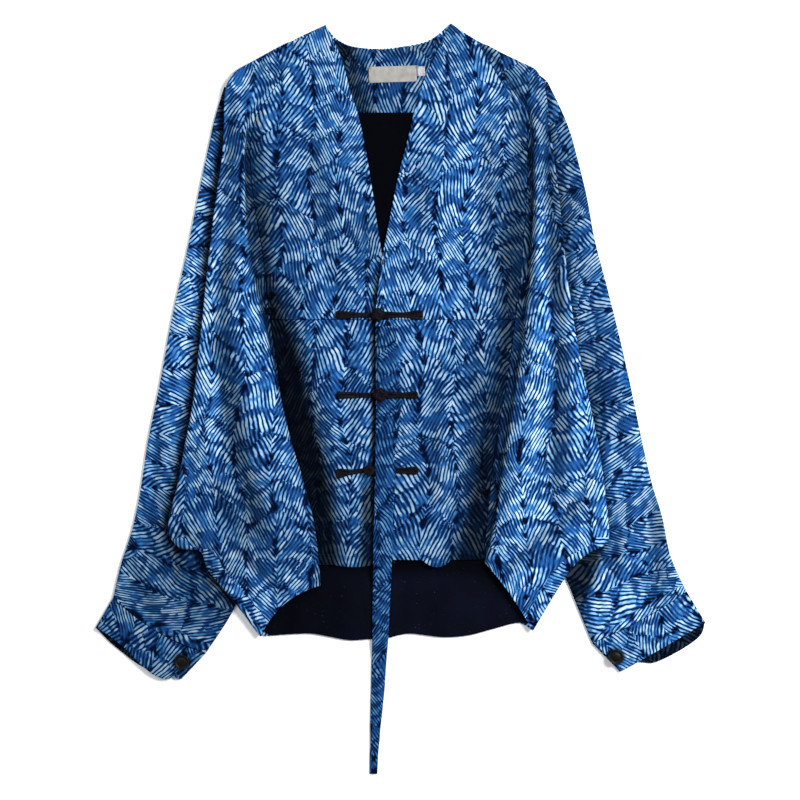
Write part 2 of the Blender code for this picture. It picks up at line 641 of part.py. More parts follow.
neck_dip = [(x, y - 1.2) for x, y in spread(BACK_NECK, 16, 2)][2:-2]
facing_outline = ([(-172, FACING_Y), (-174, 337), (-150, 365), (-106, 392)] + neck_dip
                  + [(72, 392), (120, 368), (140, 335), (142, FACING_Y)])
flat_piece("back_neck_facing", facing_outline, LINING_Z, LINING, dyed_cotton)
slip("neck_label", LABEL, label_finish)
slip("size_tab", SIZE_TAB, label_finish)

for number, row in enumerate(FROG, start=1):
    frog_pair(number, row)

tie_rows = []
for y, left_x, right_x in spread(TIE, TIE_ROWS, 1):
    places = [left_x + (right_x - left_x) * part for part in (0, 0.5, 1)]
    tie_rows.append([Vector((x, y, tie_height(x, y))) for x in places])
sheet("tie", tie_rows, CLOTH, dyed_cotton)
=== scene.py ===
# Batwing jacket of resist-dyed cotton, lying flat on its back: the finish of every surface.
# Tables are in millimetres, as seen from above: X across the shoulders, Y towards the neck, Z off the floor.

import random
from math import cos, dist, exp, pi, sin

import bpy
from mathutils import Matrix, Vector, noise


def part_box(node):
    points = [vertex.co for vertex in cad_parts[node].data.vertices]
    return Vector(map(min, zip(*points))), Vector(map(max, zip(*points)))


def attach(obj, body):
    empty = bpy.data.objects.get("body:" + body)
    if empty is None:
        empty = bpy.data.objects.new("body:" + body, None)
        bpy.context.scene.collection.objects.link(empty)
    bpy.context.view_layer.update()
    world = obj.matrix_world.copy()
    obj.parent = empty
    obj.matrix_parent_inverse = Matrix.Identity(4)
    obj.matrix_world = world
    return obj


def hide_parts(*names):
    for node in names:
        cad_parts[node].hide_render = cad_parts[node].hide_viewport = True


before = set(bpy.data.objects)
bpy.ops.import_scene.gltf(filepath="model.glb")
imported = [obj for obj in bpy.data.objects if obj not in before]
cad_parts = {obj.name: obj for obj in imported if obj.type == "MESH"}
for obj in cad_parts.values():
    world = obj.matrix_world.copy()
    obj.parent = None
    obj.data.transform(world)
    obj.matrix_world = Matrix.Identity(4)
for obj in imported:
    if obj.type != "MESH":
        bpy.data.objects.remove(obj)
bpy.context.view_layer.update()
mm = 0.001
random.seed(41)

# Middle heights of the layers, from the floor up
cloth = {"wall": 1.6, "lining": 1.0, "trim": 0.6, "seam": 0.3, "clear": 0.4}
floorZ = cloth["wall"] / 2
liningZ = cloth["wall"] + cloth["clear"] + cloth["lining"] / 2
frontZ = liningZ + cloth["lining"] / 2 + cloth["clear"] + cloth["wall"] / 2
labelZ = liningZ + cloth["lining"] / 2 + cloth["clear"] + cloth["trim"] / 2
lapRise = cloth["wall"] + cloth["clear"]
puff = 3.1  # how far a front panel lifts off the layers below

waistY = 87.0
lap = 24.0  # width of the left front that lies under the right one
neckY = 158.0
turnWidth = 5.0  # cloth past the raglan seam before it turns back under the wing
frontHemY = -186.0
backHemY = -266.0

# One row per section of a wing, from the shoulder to the hem: the raglan seam, the inner fold, the outer
# fold (x, y each), the heights of the inner fold's lip, of the crest, of the outer fold and of the cloth
# turned under it, the width turned under, and how far the section bows towards the neck.
wingTable = {
    "left": (
        (-110, 396, -114, 394.9, -120.5, 393, 4.8, 5.2, 5.0, 4.0, -2.4, 0),
        (-113, 384, -120, 384.2, -136, 384.5, 5.2, 6.4, 5.4, 4.0, -2.4, 0),
        (-121, 368, -129, 369, -157, 372.5, 6.0, 8.2, 6.0, 4.2, -2.4, 0),
        (-134, 349, -142, 350.8, -179.5, 359.5, 7.0, 10.2, 7.4, 5.0, -2.0, 0),
        (-147, 330.5, -154, 333, -190.5, 345.5, 8.2, 12.0, 9.2, 5.9, 2, 0),
        (-158, 314, -165, 315.8, -193, 323, 9.5, 13.5, 11.2, 7.4, 6, 0),
        (-164, 290, -171, 291.2, -193.5, 296, 10.0, 14.0, 12.2, 7.5, 10, 0),
        (-165.5, 263, -172.5, 263, -196, 262, 10.5, 14.5, 12.4, 7.5, 12, 0),
        (-161, 213, -173, 210, -204, 207, 11.5, 15.5, 12.4, 7.5, 16, 0),
        (-152.3, 163, -170, 158, -210.6, 152, 12.4, 17.0, 12.4, 7.5, 20, 0),
        (-146, 105, -156, 101, -217, 92, 12.6, 18.5, 12.6, 7.5, 22, 0),
        (-138, 50, -142, 48, -223, 38, 12.8, 19.5, 12.8, 7.5, 22, 0),
        (-131, 0, -131.4, -1.4, -228.5, -8, 12.8, 19.0, 12.8, 7.5, 22, 0),
        (-124, -45, -120, -48, -236, -47, 12.8, 20.0, 13.0, 7.5, 22, 0),
        (-118, -86, -107, -89, -245, -95, 12.8, 20.5, 13.2, 7.5, 22, 0),
        (-114.5, -123, -97, -127, -255.5, -141, 12.8, 20.0, 13.4, 7.5, 22, 0),
        (-113, -146, -93, -150, -243, -163.5, 12.6, 19.0, 13.2, 7.5, 22, 0),
        (-112, -160, -91, -166, -220, -167, 12.4, 18.0, 13.0, 7.5, 20, 0),
        (-111.5, -168, -90, -178, -211, -188, 12.2, 17.0, 12.6, 7.5, 18, 0),
        (-111, -176, -88.8, -192, -181.5, -224.5, 12.0, 15.0, 10.5, 6.4, 16, 5),
        (-110.5, -183, -88, -205, -154, -262, 11.0, 13.0, 8.8, 4.3, 14, 11),
    ),
    "right": (
        (84, 393, 88, 391.8, 94, 389.5, 4.8, 5.2, 5.0, 4.0, -2.4, 0),
        (92, 381, 99, 380.5, 112, 379.2, 5.2, 6.4, 5.4, 4.0, -2.4, 0),
        (102, 365, 110, 366.2, 131, 369.6, 6.0, 7.8, 6.0, 4.2, -2.4, 0),
        (113.5, 345, 121, 348.2, 148, 360, 7.0, 9.8, 7.4, 5.0, -2.0, 0),
        (126, 329, 133.5, 332.8, 157, 345, 8.2, 11.5, 9.2, 5.9, 2, 0),
        (135.5, 318, 142, 320.5, 160.5, 327, 9.5, 12.5, 11.2, 7.4, 6, 0),
        (139.5, 297, 146.5, 298.2, 163.5, 301, 10.0, 13.0, 12.2, 7.5, 10, 0),
        (140.3, 268, 147.5, 268, 167.5, 268, 10.5, 13.5, 12.4, 7.5, 12, 0),
        (139, 222, 148, 221, 174, 219, 11.5, 14.5, 12.4, 7.5, 14, 0),
        (136, 180, 147, 179, 178.3, 178, 12.0, 15.5, 12.4, 7.5, 16, 0),
        (132, 130, 145, 128, 184.5, 124, 12.4, 16.5, 12.6, 7.5, 18, 0),
        (126, 85, 140, 84, 190.5, 82, 12.6, 17.5, 12.6, 7.5, 20, 0),
        (120.5, 42, 135, 40, 199, 38, 12.8, 18.5, 12.8, 7.5, 22, 0),
        (112, -10, 127, -12, 210, -15, 12.8, 19.0, 12.8, 7.5, 22, 0),
        (104, -56, 119, -58, 219, -60, 12.8, 19.5, 13.0, 7.5, 22, 0),
        (99, -100, 112, -103, 225, -105, 12.6, 20.0, 13.2, 7.5, 22, 0),
        (95, -140, 104, -142, 228.5, -138, 12.4, 19.5, 13.2, 7.5, 22, 0),
        (93.5, -155, 100, -157, 227, -158, 12.2, 18.5, 13.0, 7.5, 22, 0),
        (92.5, -165, 97, -168, 205, -170.5, 12.0, 17.5, 13.0, 7.5, 20, 0),
        (92, -172, 94.5, -175, 184, -192, 11.5, 16.0, 11.5, 7.4, 16, 2),
        (91.9, -177.4, 93, -180, 145.3, -255.5, 8.5, 12.0, 8.8, 4.3, 12, 3),
    ),
}

# One row per section of a sleeve: the overarm fold, the underarm fold (x, y each), the bow towards the cuff
sleeveTable = {
    "left": (
        (-194, 343.5, -179, 337.5, 0), (-204, 310, -177, 302, 0), (-211.1, 278, -177, 270, 0),
        (-220.5, 234, -178, 224, 0), (-235.9, 158, -181, 146, 0), (-251.3, 90, -184, 76, 0),
        (-266, 10.7, -186, -5, 0), (-277.7, -45.4, -184, -65, 0), (-286.5, -102.6, -180, -130, 0),
        (-295.3, -143.9, -174, -178, 0), (-307.4, -181.8, -182, -227, 3), (-316.2, -219.2, -214.5, -279.5, 8),
    ),
    "right": (
        (161.5, 350, 146, 343, 0), (178.3, 315.4, 149, 305, 0), (187.6, 291.2, 150, 280, 0),
        (195.3, 262.6, 152, 251, 0), (204.8, 224.1, 155, 211, 0), (214, 174.6, 158, 161, 0),
        (227.2, 124, 161, 107, 0), (240.4, 71.2, 165, 53, 0), (252.5, 17.8, 168, -3, 0),
        (265.7, -45.4, 170, -68, 0), (276.7, -92.7, 170, -122, 0), (288.3, -130.7, 172, -166, 0),
        (297.6, -174.1, 189, -213, 2), (314.8, -212.1, 211.5, -268.5, 4),
    ),
}
sleeveTop = 5.4  # upper layer of a flattened sleeve
cuffTuck = 3.3  # the end of a cuff band that lies under its lap
cuffLap = cuffTuck + cloth["wall"] + cloth["clear"] + 0.2

# The open edge of a cuff: its two ends (x, y each)
cuffLip = {"left": (-335.7, -252.6, -241.3, -308.3), "right": (335.6, -246.7, 242.1, -300.6)}
# How far each layer of the edge stands out from the line between them, by its share of the way from the
# underarm end (1) to the overarm end (0)
cuffEdge = {
    "left": {
        "upper": ((0, 1), (1.2, 0.94), (5.6, 0.905), (9, 0.86), (11.2, 0.8), (11.4, 0.7), (7, 0.5),
                  (3.2, 0.39), (0, 0.2), (-1.2, 0.1), (0, 0)),
        "floor": ((0, 1), (0.5, 0.92), (2.5, 0.89), (8, 0.8), (11, 0.7), (10.8, 0.5), (9.2, 0.39), (6, 0.2),
                  (3.2, 0.1), (0, 0)),
        "tucked": ((0, 1), (1.8, 0.975), (2.6, 0.945), (1.2, 0.92), (1, 0.8), (0, 0)),
    },
    "right": {
        "upper": ((0, 1), (0.5, 0.5), (0, 0)),
        "floor": ((0, 1), (0, 0.83), (1.5, 0.78), (9, 0.69), (11.5, 0.6), (13, 0.43), (12.5, 0.24),
                  (10.5, 0.12), (7, 0.06), (0, 0)),
        "tucked": ((0, 1), (0, 0)),
    },
}
cuffEnd = {"left": 9.0, "right": 1.8}  # from the underarm fold to the free end of the upper layer
cuffButton = {"left": (-240.5, -289.5), "right": (237.0, -284.0)}

# Free edges of the fronts: the V neck, then the straight opening (x, y)
frontEdge = {
    "left": (
        (-82.3, 412.2), (-65.4, 376), (-55.5, 340), (-46.7, 313), (-39, 278), (-31.3, 232), (-25.8, 194),
        (-19.7, neckY), (-8, 120), (-3.5, 87), (-3, 0), (-4, -90), (-6, -181),
    ),
    "right": (
        (55.2, 413.9), (35.8, 373), (25.9, 350.6), (14.5, 313), (6.1, 278), (-3.8, 239.5), (-13, 192),
        (-19.6, neckY), (-24.7, 119.6), (-27.4, 87), (-26.9, 0), (-28, -78), (-30.2, -181),
    ),
}
shoulderStart = 350.0  # above this the rows of a front turn to meet the shoulder
hemDip = {"left": (-52, 22, -2.5), "right": (40, 16, -8)}  # the hem's sag: middle, half width and depth

backNeck = ((-82.3, 412.2), (-76.4, 402.3), (-65.4, 393.5), (-52.2, 388.4), (-25, 386), (6, 389),
            (27, 393.5), (40.2, 400.5), (55.2, 413.9))
# The back panel's border: shoulders from left to right, the corner where the right armhole starts, and the
# lower sides that show beside the wings
rightShoulder = ((55.2, 413.9), (81.7, 396.8), (119.4, 375.9), (142.5, 364.9), (152, 358), (161.6, 350.9))
leftShoulder = ((-192, 347), (-180.9, 359.4), (-162.2, 370.4), (-135.8, 385.8), (-107.2, 401.2),
                (-82.3, 412.2))
rightCorner = (145.5, 343.8)
rightSide = ((177, -201), (164.5, -222.5), (145, -255))
leftSide = ((-154, -261), (-163.3, -250), (-176.5, -229))
backHem = ((138, -250), (128.8, -247), (100.7, -254.4), (75.4, -261), (49, -263.2), (28, -261), (7.2, -259),
           (-13, -263.7), (-32.4, -265), (-56.6, -266.5), (-81.3, -262), (-103.9, -259), (-152, -262))
armholeEnd = {"left": -215, "right": -185}
armholeGap = 1.2  # between the back panel and the sleeve
facingY = 315.4  # lower edge of the back neck facing
facingGap = 0.4  # from there to the lining
liningInset = 6.0  # from the sleeve to the lining

# The frogs from top to bottom, each with the outer end and width of its loop side and of its knot side, how
# much the loop side tilts, and the knot's centre, width and height
frogTable = (
    {"y": 92.2, "loop": (-71.4, 9.2), "tilt": 0.0, "knot": (-24.7, 14.3, 8.0), "end": (24.8, 10.9)},
    {"y": 4.0, "loop": (-69.8, 8.0), "tilt": 0.0, "knot": (-21.9, 15.0, 7.0), "end": (19.3, 8.8)},
    {"y": -79.0, "loop": (-70.9, 11.0), "tilt": -3.5, "knot": (-34.4, 12.0, 5.0), "end": (19.7, 9.0)},
)
frogWaist = 5.6  # width of a frog's pair of cords near the opening
frogUnderTie = 2.0  # height of the lowest frog's knot side where the tie crosses it

# The tie, from its sewn end down: y, left edge, right edge
tieTable = (
    (80, -25.6, -4.5), (40, -25.6, -4), (12, -25.2, 0.2), (-8, -26, 0.6), (-33, -27, -1.6), (-63, -27.6, -7),
    (-83, -27.2, -5.5), (-130, -29, -8), (-181, -30.2, -9.5), (-265, -31.3, -13.7), (-331, -32.9, -18.6),
    (-380, -33.4, -23.5), (-413.6, -33.9, -25.5),
)

# How finely the cloth is modelled: rows and columns of each sheet
fineness = {
    "wing": (150, 110), "sleeve": (120, 88), "cuff": (26, 110), "front": 62, "back": (60, 60),
    "lining": (110, 90), "facing": (24, 80), "tie": (240, 9), "label": (9, 31),
}

# Where in the dyed cloth a piece is cut, from the place where it lies, so that they show other parts of it
cutPlace = {
    "front_left_upper": (0, 0), "front_left_lower": (57, 57), "front_right_upper": (260, 0),
    "front_right_lower": (317, 57), "sleeve_left": (90, 700), "sleeve_right": (490, 700),
    "cuff_left": (40, 640), "cuff_right": (40, 810), "back_panel": (500, 330),
    "back_neck_facing": (330, 210), "tie": (610, 300), "side strip": (430, 120),
}


def between(a, b, c, d, t):
    # A value on the smooth curve from b to c, with a and d as its neighbours
    bend = 2 * a - 5 * b + 4 * c - d
    return 0.5 * (2 * b + (c - a) * t + bend * t ** 2 + (3 * b - a - 3 * c + d) * t ** 3)


def clamp(value, low=0.0, high=1.0):
    return min(max(value, low), high)


def smoothStep(value):
    value = clamp(value)
    return value * value * (3 - 2 * value)


def hump(away, width):
    # 1 on a line or at a place and fading softly to 0 a little past its width
    return exp(-(away / width) ** 2)


def flatPoint(x, y):
    return Vector((x, y, 0))


def place3(place, height):
    return Vector((place.x, place.y, height))


def spread(rows, count, plan):
    # Rows at even steps along the smooth curves through a table; plan is how many columns are places
    last = len(rows) - 1
    fine = []
    for i in range(last):
        near = (rows[max(i - 1, 0)], rows[i], rows[i + 1], rows[min(i + 2, last)])
        for step in range(12):
            fine.append([between(*values, step / 12) for values in zip(*near)])
    fine.append(list(rows[last]))
    travelled = [0.0]
    for before, after in zip(fine, fine[1:]):
        travelled.append(travelled[-1] + dist(before[:plan], after[:plan]))
    chosen = []
    place = 0
    for i in range(count):
        target = travelled[-1] * i / (count - 1)
        while place < len(travelled) - 2 and travelled[place + 1] < target:
            place += 1
        part = (target - travelled[place]) / (travelled[place + 1] - travelled[place])
        chosen.append([a + (b - a) * part for a, b in zip(fine[place], fine[place + 1])])
    return chosen


def readLine(line, y):
    # x at a height y on a line of (x, y) points that runs downwards
    for (xAbove, yAbove), (xBelow, yBelow) in zip(line, line[1:]):
        if y >= yBelow:
            return xBelow + (xAbove - xBelow) * (y - yBelow) / (yAbove - yBelow)
    return line[-1][0]


def lengthsAlong(points):
    # How much of a line of points lies before each of them
    travelled = [0.0]
    for before, after in zip(points, points[1:]):
        travelled.append(travelled[-1] + (after - before).length)
    return travelled


def placeAfter(line, travelled, target):
    # The place on a line of points that has a given length of it behind it
    step = 1
    while step < len(line) - 1 and travelled[step] < target:
        step += 1
    share = (target - travelled[step - 1]) / max(travelled[step] - travelled[step - 1], 1e-9)
    return line[step - 1].lerp(line[step], share)


def overRows(rows, rule):
    # What a rule of x and y gives for every point of a sheet
    return [[rule(point.x, point.y) for point in row] for row in rows]


def cutFlat(rows, piece):
    # The places in the cloth of a piece that lies flat
    cutX, cutY = cutPlace.get(piece, (0, 0))
    return overRows(rows, lambda x, y: (x + cutX, y + cutY))


def softSection(points, count, closed=False):
    # A cloth section that rounds off the corners of the line through its points
    if closed:
        ring = points + points[:3]
        spans = len(points)
        places = [i * spans / count for i in range(count)]
    else:
        ring = [points[0]] * 2 + points + [points[-1]] * 2
        spans = len(ring) - 3
        places = [i * spans / (count - 1) for i in range(count)]
    section = []
    for place in places:
        span = min(int(place), spans - 1)
        t = place - span
        weights = ((1 - t) ** 3, 3 * t ** 3 - 6 * t ** 2 + 4, -3 * t ** 3 + 3 * t ** 2 + 3 * t + 1, t ** 3)
        total = flatPoint(0, 0)
        for point, weight in zip(ring[span:span + 4], weights):
            total += point * (weight / 6)
        section.append(total)
    return section


def fromLine(x, y, crease):
    # How far a place lies from a crease's line, and how far along it, from 0 to 1
    x0, y0, x1, y1 = crease[:4]
    runX, runY = x1 - x0, y1 - y0
    part = ((x - x0) * runX + (y - y0) * runY) / (runX ** 2 + runY ** 2)
    held = clamp(part)
    return dist((x, y), (x0 + runX * held, y0 + runY * held)), held


def creaseHeight(creases, x, y):
    # Soft ridges (a height above 0) and troughs, each fading out towards the ends of its line
    total = 0.0
    for crease in creases:
        away, part = fromLine(x, y, crease)
        width, height = crease[4:6]
        if away < 2.6 * width:
            fade = sin(pi * clamp(0.12 + 0.76 * part)) ** 0.7
            total += height * fade * hump(away, width)
    return total


def troughShade(lift, depth, most):
    # Shade in the creases that are troughs, whole at a given depth
    return clamp(-lift / depth, 0, most)


def layered(*depths):
    # Shades that lie over each other
    light = 1
    for depth in depths:
        light *= 1 - depth
    return 1 - light


# Broad soft shades where the cloth falls away from the light, and paler places (a depth below 0) where it
# rises to it: middle, half width, half height and depth
softLight = {
    "wing": (
        (-180, 270, 22, 120, -0.26), (-208, 60, 11, 110, -0.35), (-150, -214, 18, 28, -0.5),
        (-180, -212, 14, 24, -0.5), (-118, -200, 14, 16, -0.4), (176, 200, 13, 140, 0.6),
        (180, -172, 14, 16, 0.2), (207, -92, 12, 62, 0.34),
    ),
    "front": (
        (-148, 196, 16, 76, 0.7), (-120, 96, 14, 36, 0.4), (-84, 140, 14, 42, -0.28),
        (-36, 180, 22, 32, 0.34), (16, 235, 14, 40, 0.35), (112, 185, 15, 90, 0.62), (82, 12, 15, 86, 0.55),
        (49, -18, 13, 34, -0.3), (95, 345, 30, 30, -0.12), (-50, 45, 14, 26, -0.14), (-50, -56, 14, 26, 0.2),
    ),
    "sleeve": (
        (180, 190, 16, 130, 0.5), (216, 0, 18, 90, 0.66), (284, -150, 15, 84, 0.7),
        (247, -155, 14, 36, -0.16), (-240, 100, 18, 80, -0.4), (-289, -130, 14, 90, -0.42),
        (-318, -205, 16, 26, -0.4), (-222, 90, 10, 90, -0.24),
    ),
}


def softShade(kind, x, y, depth):
    # The shade of a place once the broad soft shades are laid over it
    for middleX, middleY, halfWidth, halfHeight, deeper in softLight[kind]:
        part = exp(-((x - middleX) / halfWidth) ** 2 - ((y - middleY) / halfHeight) ** 2)
        depth += deeper * part * (1 - max(depth, 0))
    return max(depth, -0.5)


def ripple(x, y, size, depth, seed):
    # Small seeded unevenness of the cloth
    return depth * noise.noise(Vector((x / size, y / size, seed * 7.3)))


def handRipple(x, y, seed):
    # The crumple that the stitched and bound dyeing leaves in the cloth, with a broader wave under it
    return ripple(x, y, 34, 0.9, seed) + ripple(x, y, 13, 0.42, seed + 5) + ripple(x, y, 6, 0.16, seed + 9)


def colour(code):
    # An sRGB hex colour as linear RGBA
    linear = []
    for i in (1, 3, 5):
        part = int(code[i:i + 2], 16) / 255
        linear.append(part / 12.92 if part <= 0.04045 else ((part + 0.055) / 1.055) ** 2.4)
    return (*linear, 1.0)


def plug(tree, node, inputs):
    # What goes into a node's sockets: a value, a socket or another node's first output
    for key, value in inputs.items():
        if isinstance(value, bpy.types.Node):
            value = value.outputs[0]
        if isinstance(value, bpy.types.NodeSocket):
            tree.links.new(value, node.inputs[key])
        else:
            node.inputs[key].default_value = value


def addNode(tree, kind, inputs=None, **settings):
    # One node with its settings and links
    node = tree.nodes.new("ShaderNode" + kind)
    for key, value in settings.items():
        setattr(node, key, value)
    plug(tree, node, inputs or {})
    return node


def newMaterial(name):
    material = bpy.data.materials.new(name)
    material.use_nodes = True
    tree = material.node_tree
    return material, tree, tree.nodes["Principled BSDF"]


def setRamp(node, stops):
    # The colours of a ramp, each a place from 0 to 1 and an sRGB hex colour; a ramp sorts itself by place
    ramp = node.color_ramp
    while len(ramp.elements) < len(stops):
        ramp.elements.new(0.5)
    for element, (place, code) in zip(ramp.elements, stops):
        element.position = place
    for element, (place, code) in zip(ramp.elements, stops):
        element.color = colour(code)


def paintedShadeDepth(tree):
    # The painted shade from the fold attribute, on the faces that look up; from below no shade is painted
    depth = addNode(tree, "Attribute", attribute_name="fold")
    own = addNode(tree, "TexCoord")
    normal = addNode(tree, "SeparateXYZ", {"Vector": own.outputs["Normal"]})
    upwards = addNode(tree, "MapRange", {"Value": normal.outputs["Z"], "From Min": -0.6, "From Max": -0.3})
    return addNode(tree, "Math", {0: depth.outputs["Fac"], 1: upwards}, operation="MULTIPLY")


def threadPlace(tree, turn=0.0):
    # Where the cloth's own threads are, in millimetres
    threads = addNode(tree, "UVMap", uv_map="cloth")
    return addNode(tree, "Mapping", {"Vector": threads, "Scale": (1 / mm, 1 / mm, 1 / mm),
                                     "Rotation": (0, 0, turn)})


# Resist-dyed cotton: pleats are stitched and bound before the indigo bath, so pale strokes with a thin dark
# line between them run in nested V shapes on both sides of upright spines, with darker knots between.
dyeing = {
    "strokePitch": 3.8,  # from one pale stroke to the next
    "shortest": 22.0,  # length of a row of strokes, by block
    "longest": 40.0,
    "column": 34.0,  # from one spine of the herringbone to the next
    "block": 84.0,  # height over which the strokes keep their slope
    "leastSlope": 0.32,  # radians off the spine
    "mostSlope": 0.7,
    "drift": 38.0,  # how far the spines wander
    "fray": 9.0,  # how far the ends of the blocks do
    "fan": 0.14,  # how far the strokes of a block spread like a fan
    "palest": (0.56, 0.92),  # the pale strokes, on the scale of the colours below
    "between": 0.33,  # the blue at the ends of the pale strokes, on the same scale
    "colours": ((0.0, "#020514"), (0.14, "#071433"), (0.3, "#123064"), (0.44, "#235d9f"), (0.58, "#5593c8"),
                (0.76, "#9abedd"), (1.0, "#d4e5f2")),
    "shadows": ((0.5, "#010d24"), (0.95, "#010206")),
}


def flatNoise(tree, place, size, detail):
    return addNode(tree, "TexNoise", {"Vector": place, "Scale": 1 / size, "Detail": detail},
                   noise_dimensions="2D")


def strayed(tree, place, size, detail, reach, start):
    # A start place moved about by up to half a reach each way
    stray = flatNoise(tree, place, size, detail).outputs["Color"]
    strayBy = addNode(tree, "VectorMath", {0: stray, 1: (0.5, 0.5, 0.5)}, operation="SUBTRACT")
    return addNode(tree, "VectorMath", {0: strayBy, 1: (reach, reach, reach), 2: start},
                   operation="MULTIPLY_ADD")


def dyeBlocks(tree, look, place):
    # The blocks of the herringbone: which one a place is in, what chance gave it, and the place inside it,
    # turned so that the strokes run along Y
    bent = strayed(tree, place, 140, 1.0, look["drift"], place)
    frayed = strayed(tree, place, 11, 2.0, look["fray"], bent)
    at = addNode(tree, "SeparateXYZ", {"Vector": bent})
    edgeAt = addNode(tree, "SeparateXYZ", {"Vector": frayed})
    # Distance from the nearest even spine, the number of that spine and the column the place is in
    fromSpine = addNode(tree, "Math", {0: at.outputs["X"], 1: look["column"]}, operation="PINGPONG")
    inPairs = addNode(tree, "Math", {0: edgeAt.outputs["X"], 1: 2 * look["column"]}, operation="DIVIDE")
    spine = addNode(tree, "Math", {0: inPairs}, operation="ROUND")
    inColumns = addNode(tree, "Math", {0: at.outputs["X"], 1: look["column"]}, operation="DIVIDE")
    column = addNode(tree, "Math", {0: inColumns}, operation="FLOOR")
    # Blocks end on slanting lines, each spine's at heights of its own
    spineChance = addNode(tree, "TexWhiteNoise", {"W": spine}, noise_dimensions="1D")
    slanted = addNode(tree, "Math", {0: fromSpine, 1: 0.75, 2: edgeAt.outputs["Y"]}, operation="MULTIPLY_ADD")
    inRows = addNode(tree, "Math", {0: slanted, 1: look["block"]}, operation="DIVIDE")
    shifted = addNode(tree, "Math", {0: spineChance.outputs["Value"], 1: 5.0, 2: inRows},
                      operation="MULTIPLY_ADD")
    row = addNode(tree, "Math", {0: shifted}, operation="FLOOR")
    blockPlace = addNode(tree, "CombineXYZ", {"X": spine, "Y": row})
    blockChance = addNode(tree, "TexWhiteNoise", {"Vector": blockPlace}, noise_dimensions="2D")
    chance = addNode(tree, "SeparateColor", {"Color": blockChance.outputs["Color"]})
    sidePlace = addNode(tree, "CombineXYZ", {"X": column, "Y": row, "Z": 7.0})
    sideChance = addNode(tree, "TexWhiteNoise", {"Vector": sidePlace}, noise_dimensions="3D")
    # Nearly all the V shapes point the same way, and each block and side has a slope of its own
    flipped = addNode(tree, "Math", {0: chance.outputs["Red"], 1: 0.08}, operation="LESS_THAN")
    lean = addNode(tree, "MapRange", {"Value": flipped, "To Min": 1.0, "To Max": -1.0})
    bothSlope = addNode(tree, "Math", {0: sideChance.outputs["Value"], 1: 0.5, 2: chance.outputs["Green"]},
                        operation="MULTIPLY_ADD")
    slope = addNode(tree, "MapRange", {"Value": bothSlope, "From Max": 1.5, "To Min": look["leastSlope"],
                                       "To Max": look["mostSlope"]})
    fan = flatNoise(tree, place, 45, 0.0)
    fanBy = addNode(tree, "MapRange", {"Value": fan, "To Min": -look["fan"], "To Max": look["fan"]})
    turn = addNode(tree, "Math", {0: lean, 1: slope, 2: fanBy}, operation="MULTIPLY_ADD")
    smoothRows = addNode(tree, "Math", {0: at.outputs["Y"], 1: look["block"]}, operation="DIVIDE")
    fromRow = addNode(tree, "Math", {0: spineChance.outputs["Value"], 1: 5.0, 2: smoothRows},
                      operation="MULTIPLY_ADD")
    sinceRow = addNode(tree, "Math", {0: fromRow, 1: row}, operation="SUBTRACT")
    height = addNode(tree, "Math", {0: sinceRow, 1: look["block"], 2: -0.3 * look["block"]},
                     operation="MULTIPLY_ADD")
    inBlock = addNode(tree, "CombineXYZ", {"X": fromSpine, "Y": height})
    turned = addNode(tree, "VectorRotate", {"Vector": inBlock, "Angle": turn}, rotation_type="Z_AXIS")
    return {
        "bent": bent,
        "fromSpine": fromSpine,
        "column": column,
        "row": row,
        "inRow": addNode(tree, "Math", {0: shifted}, operation="FRACT"),
        "chance": chance.outputs["Blue"],
        "across": addNode(tree, "SeparateXYZ", {"Vector": turned}),
    }


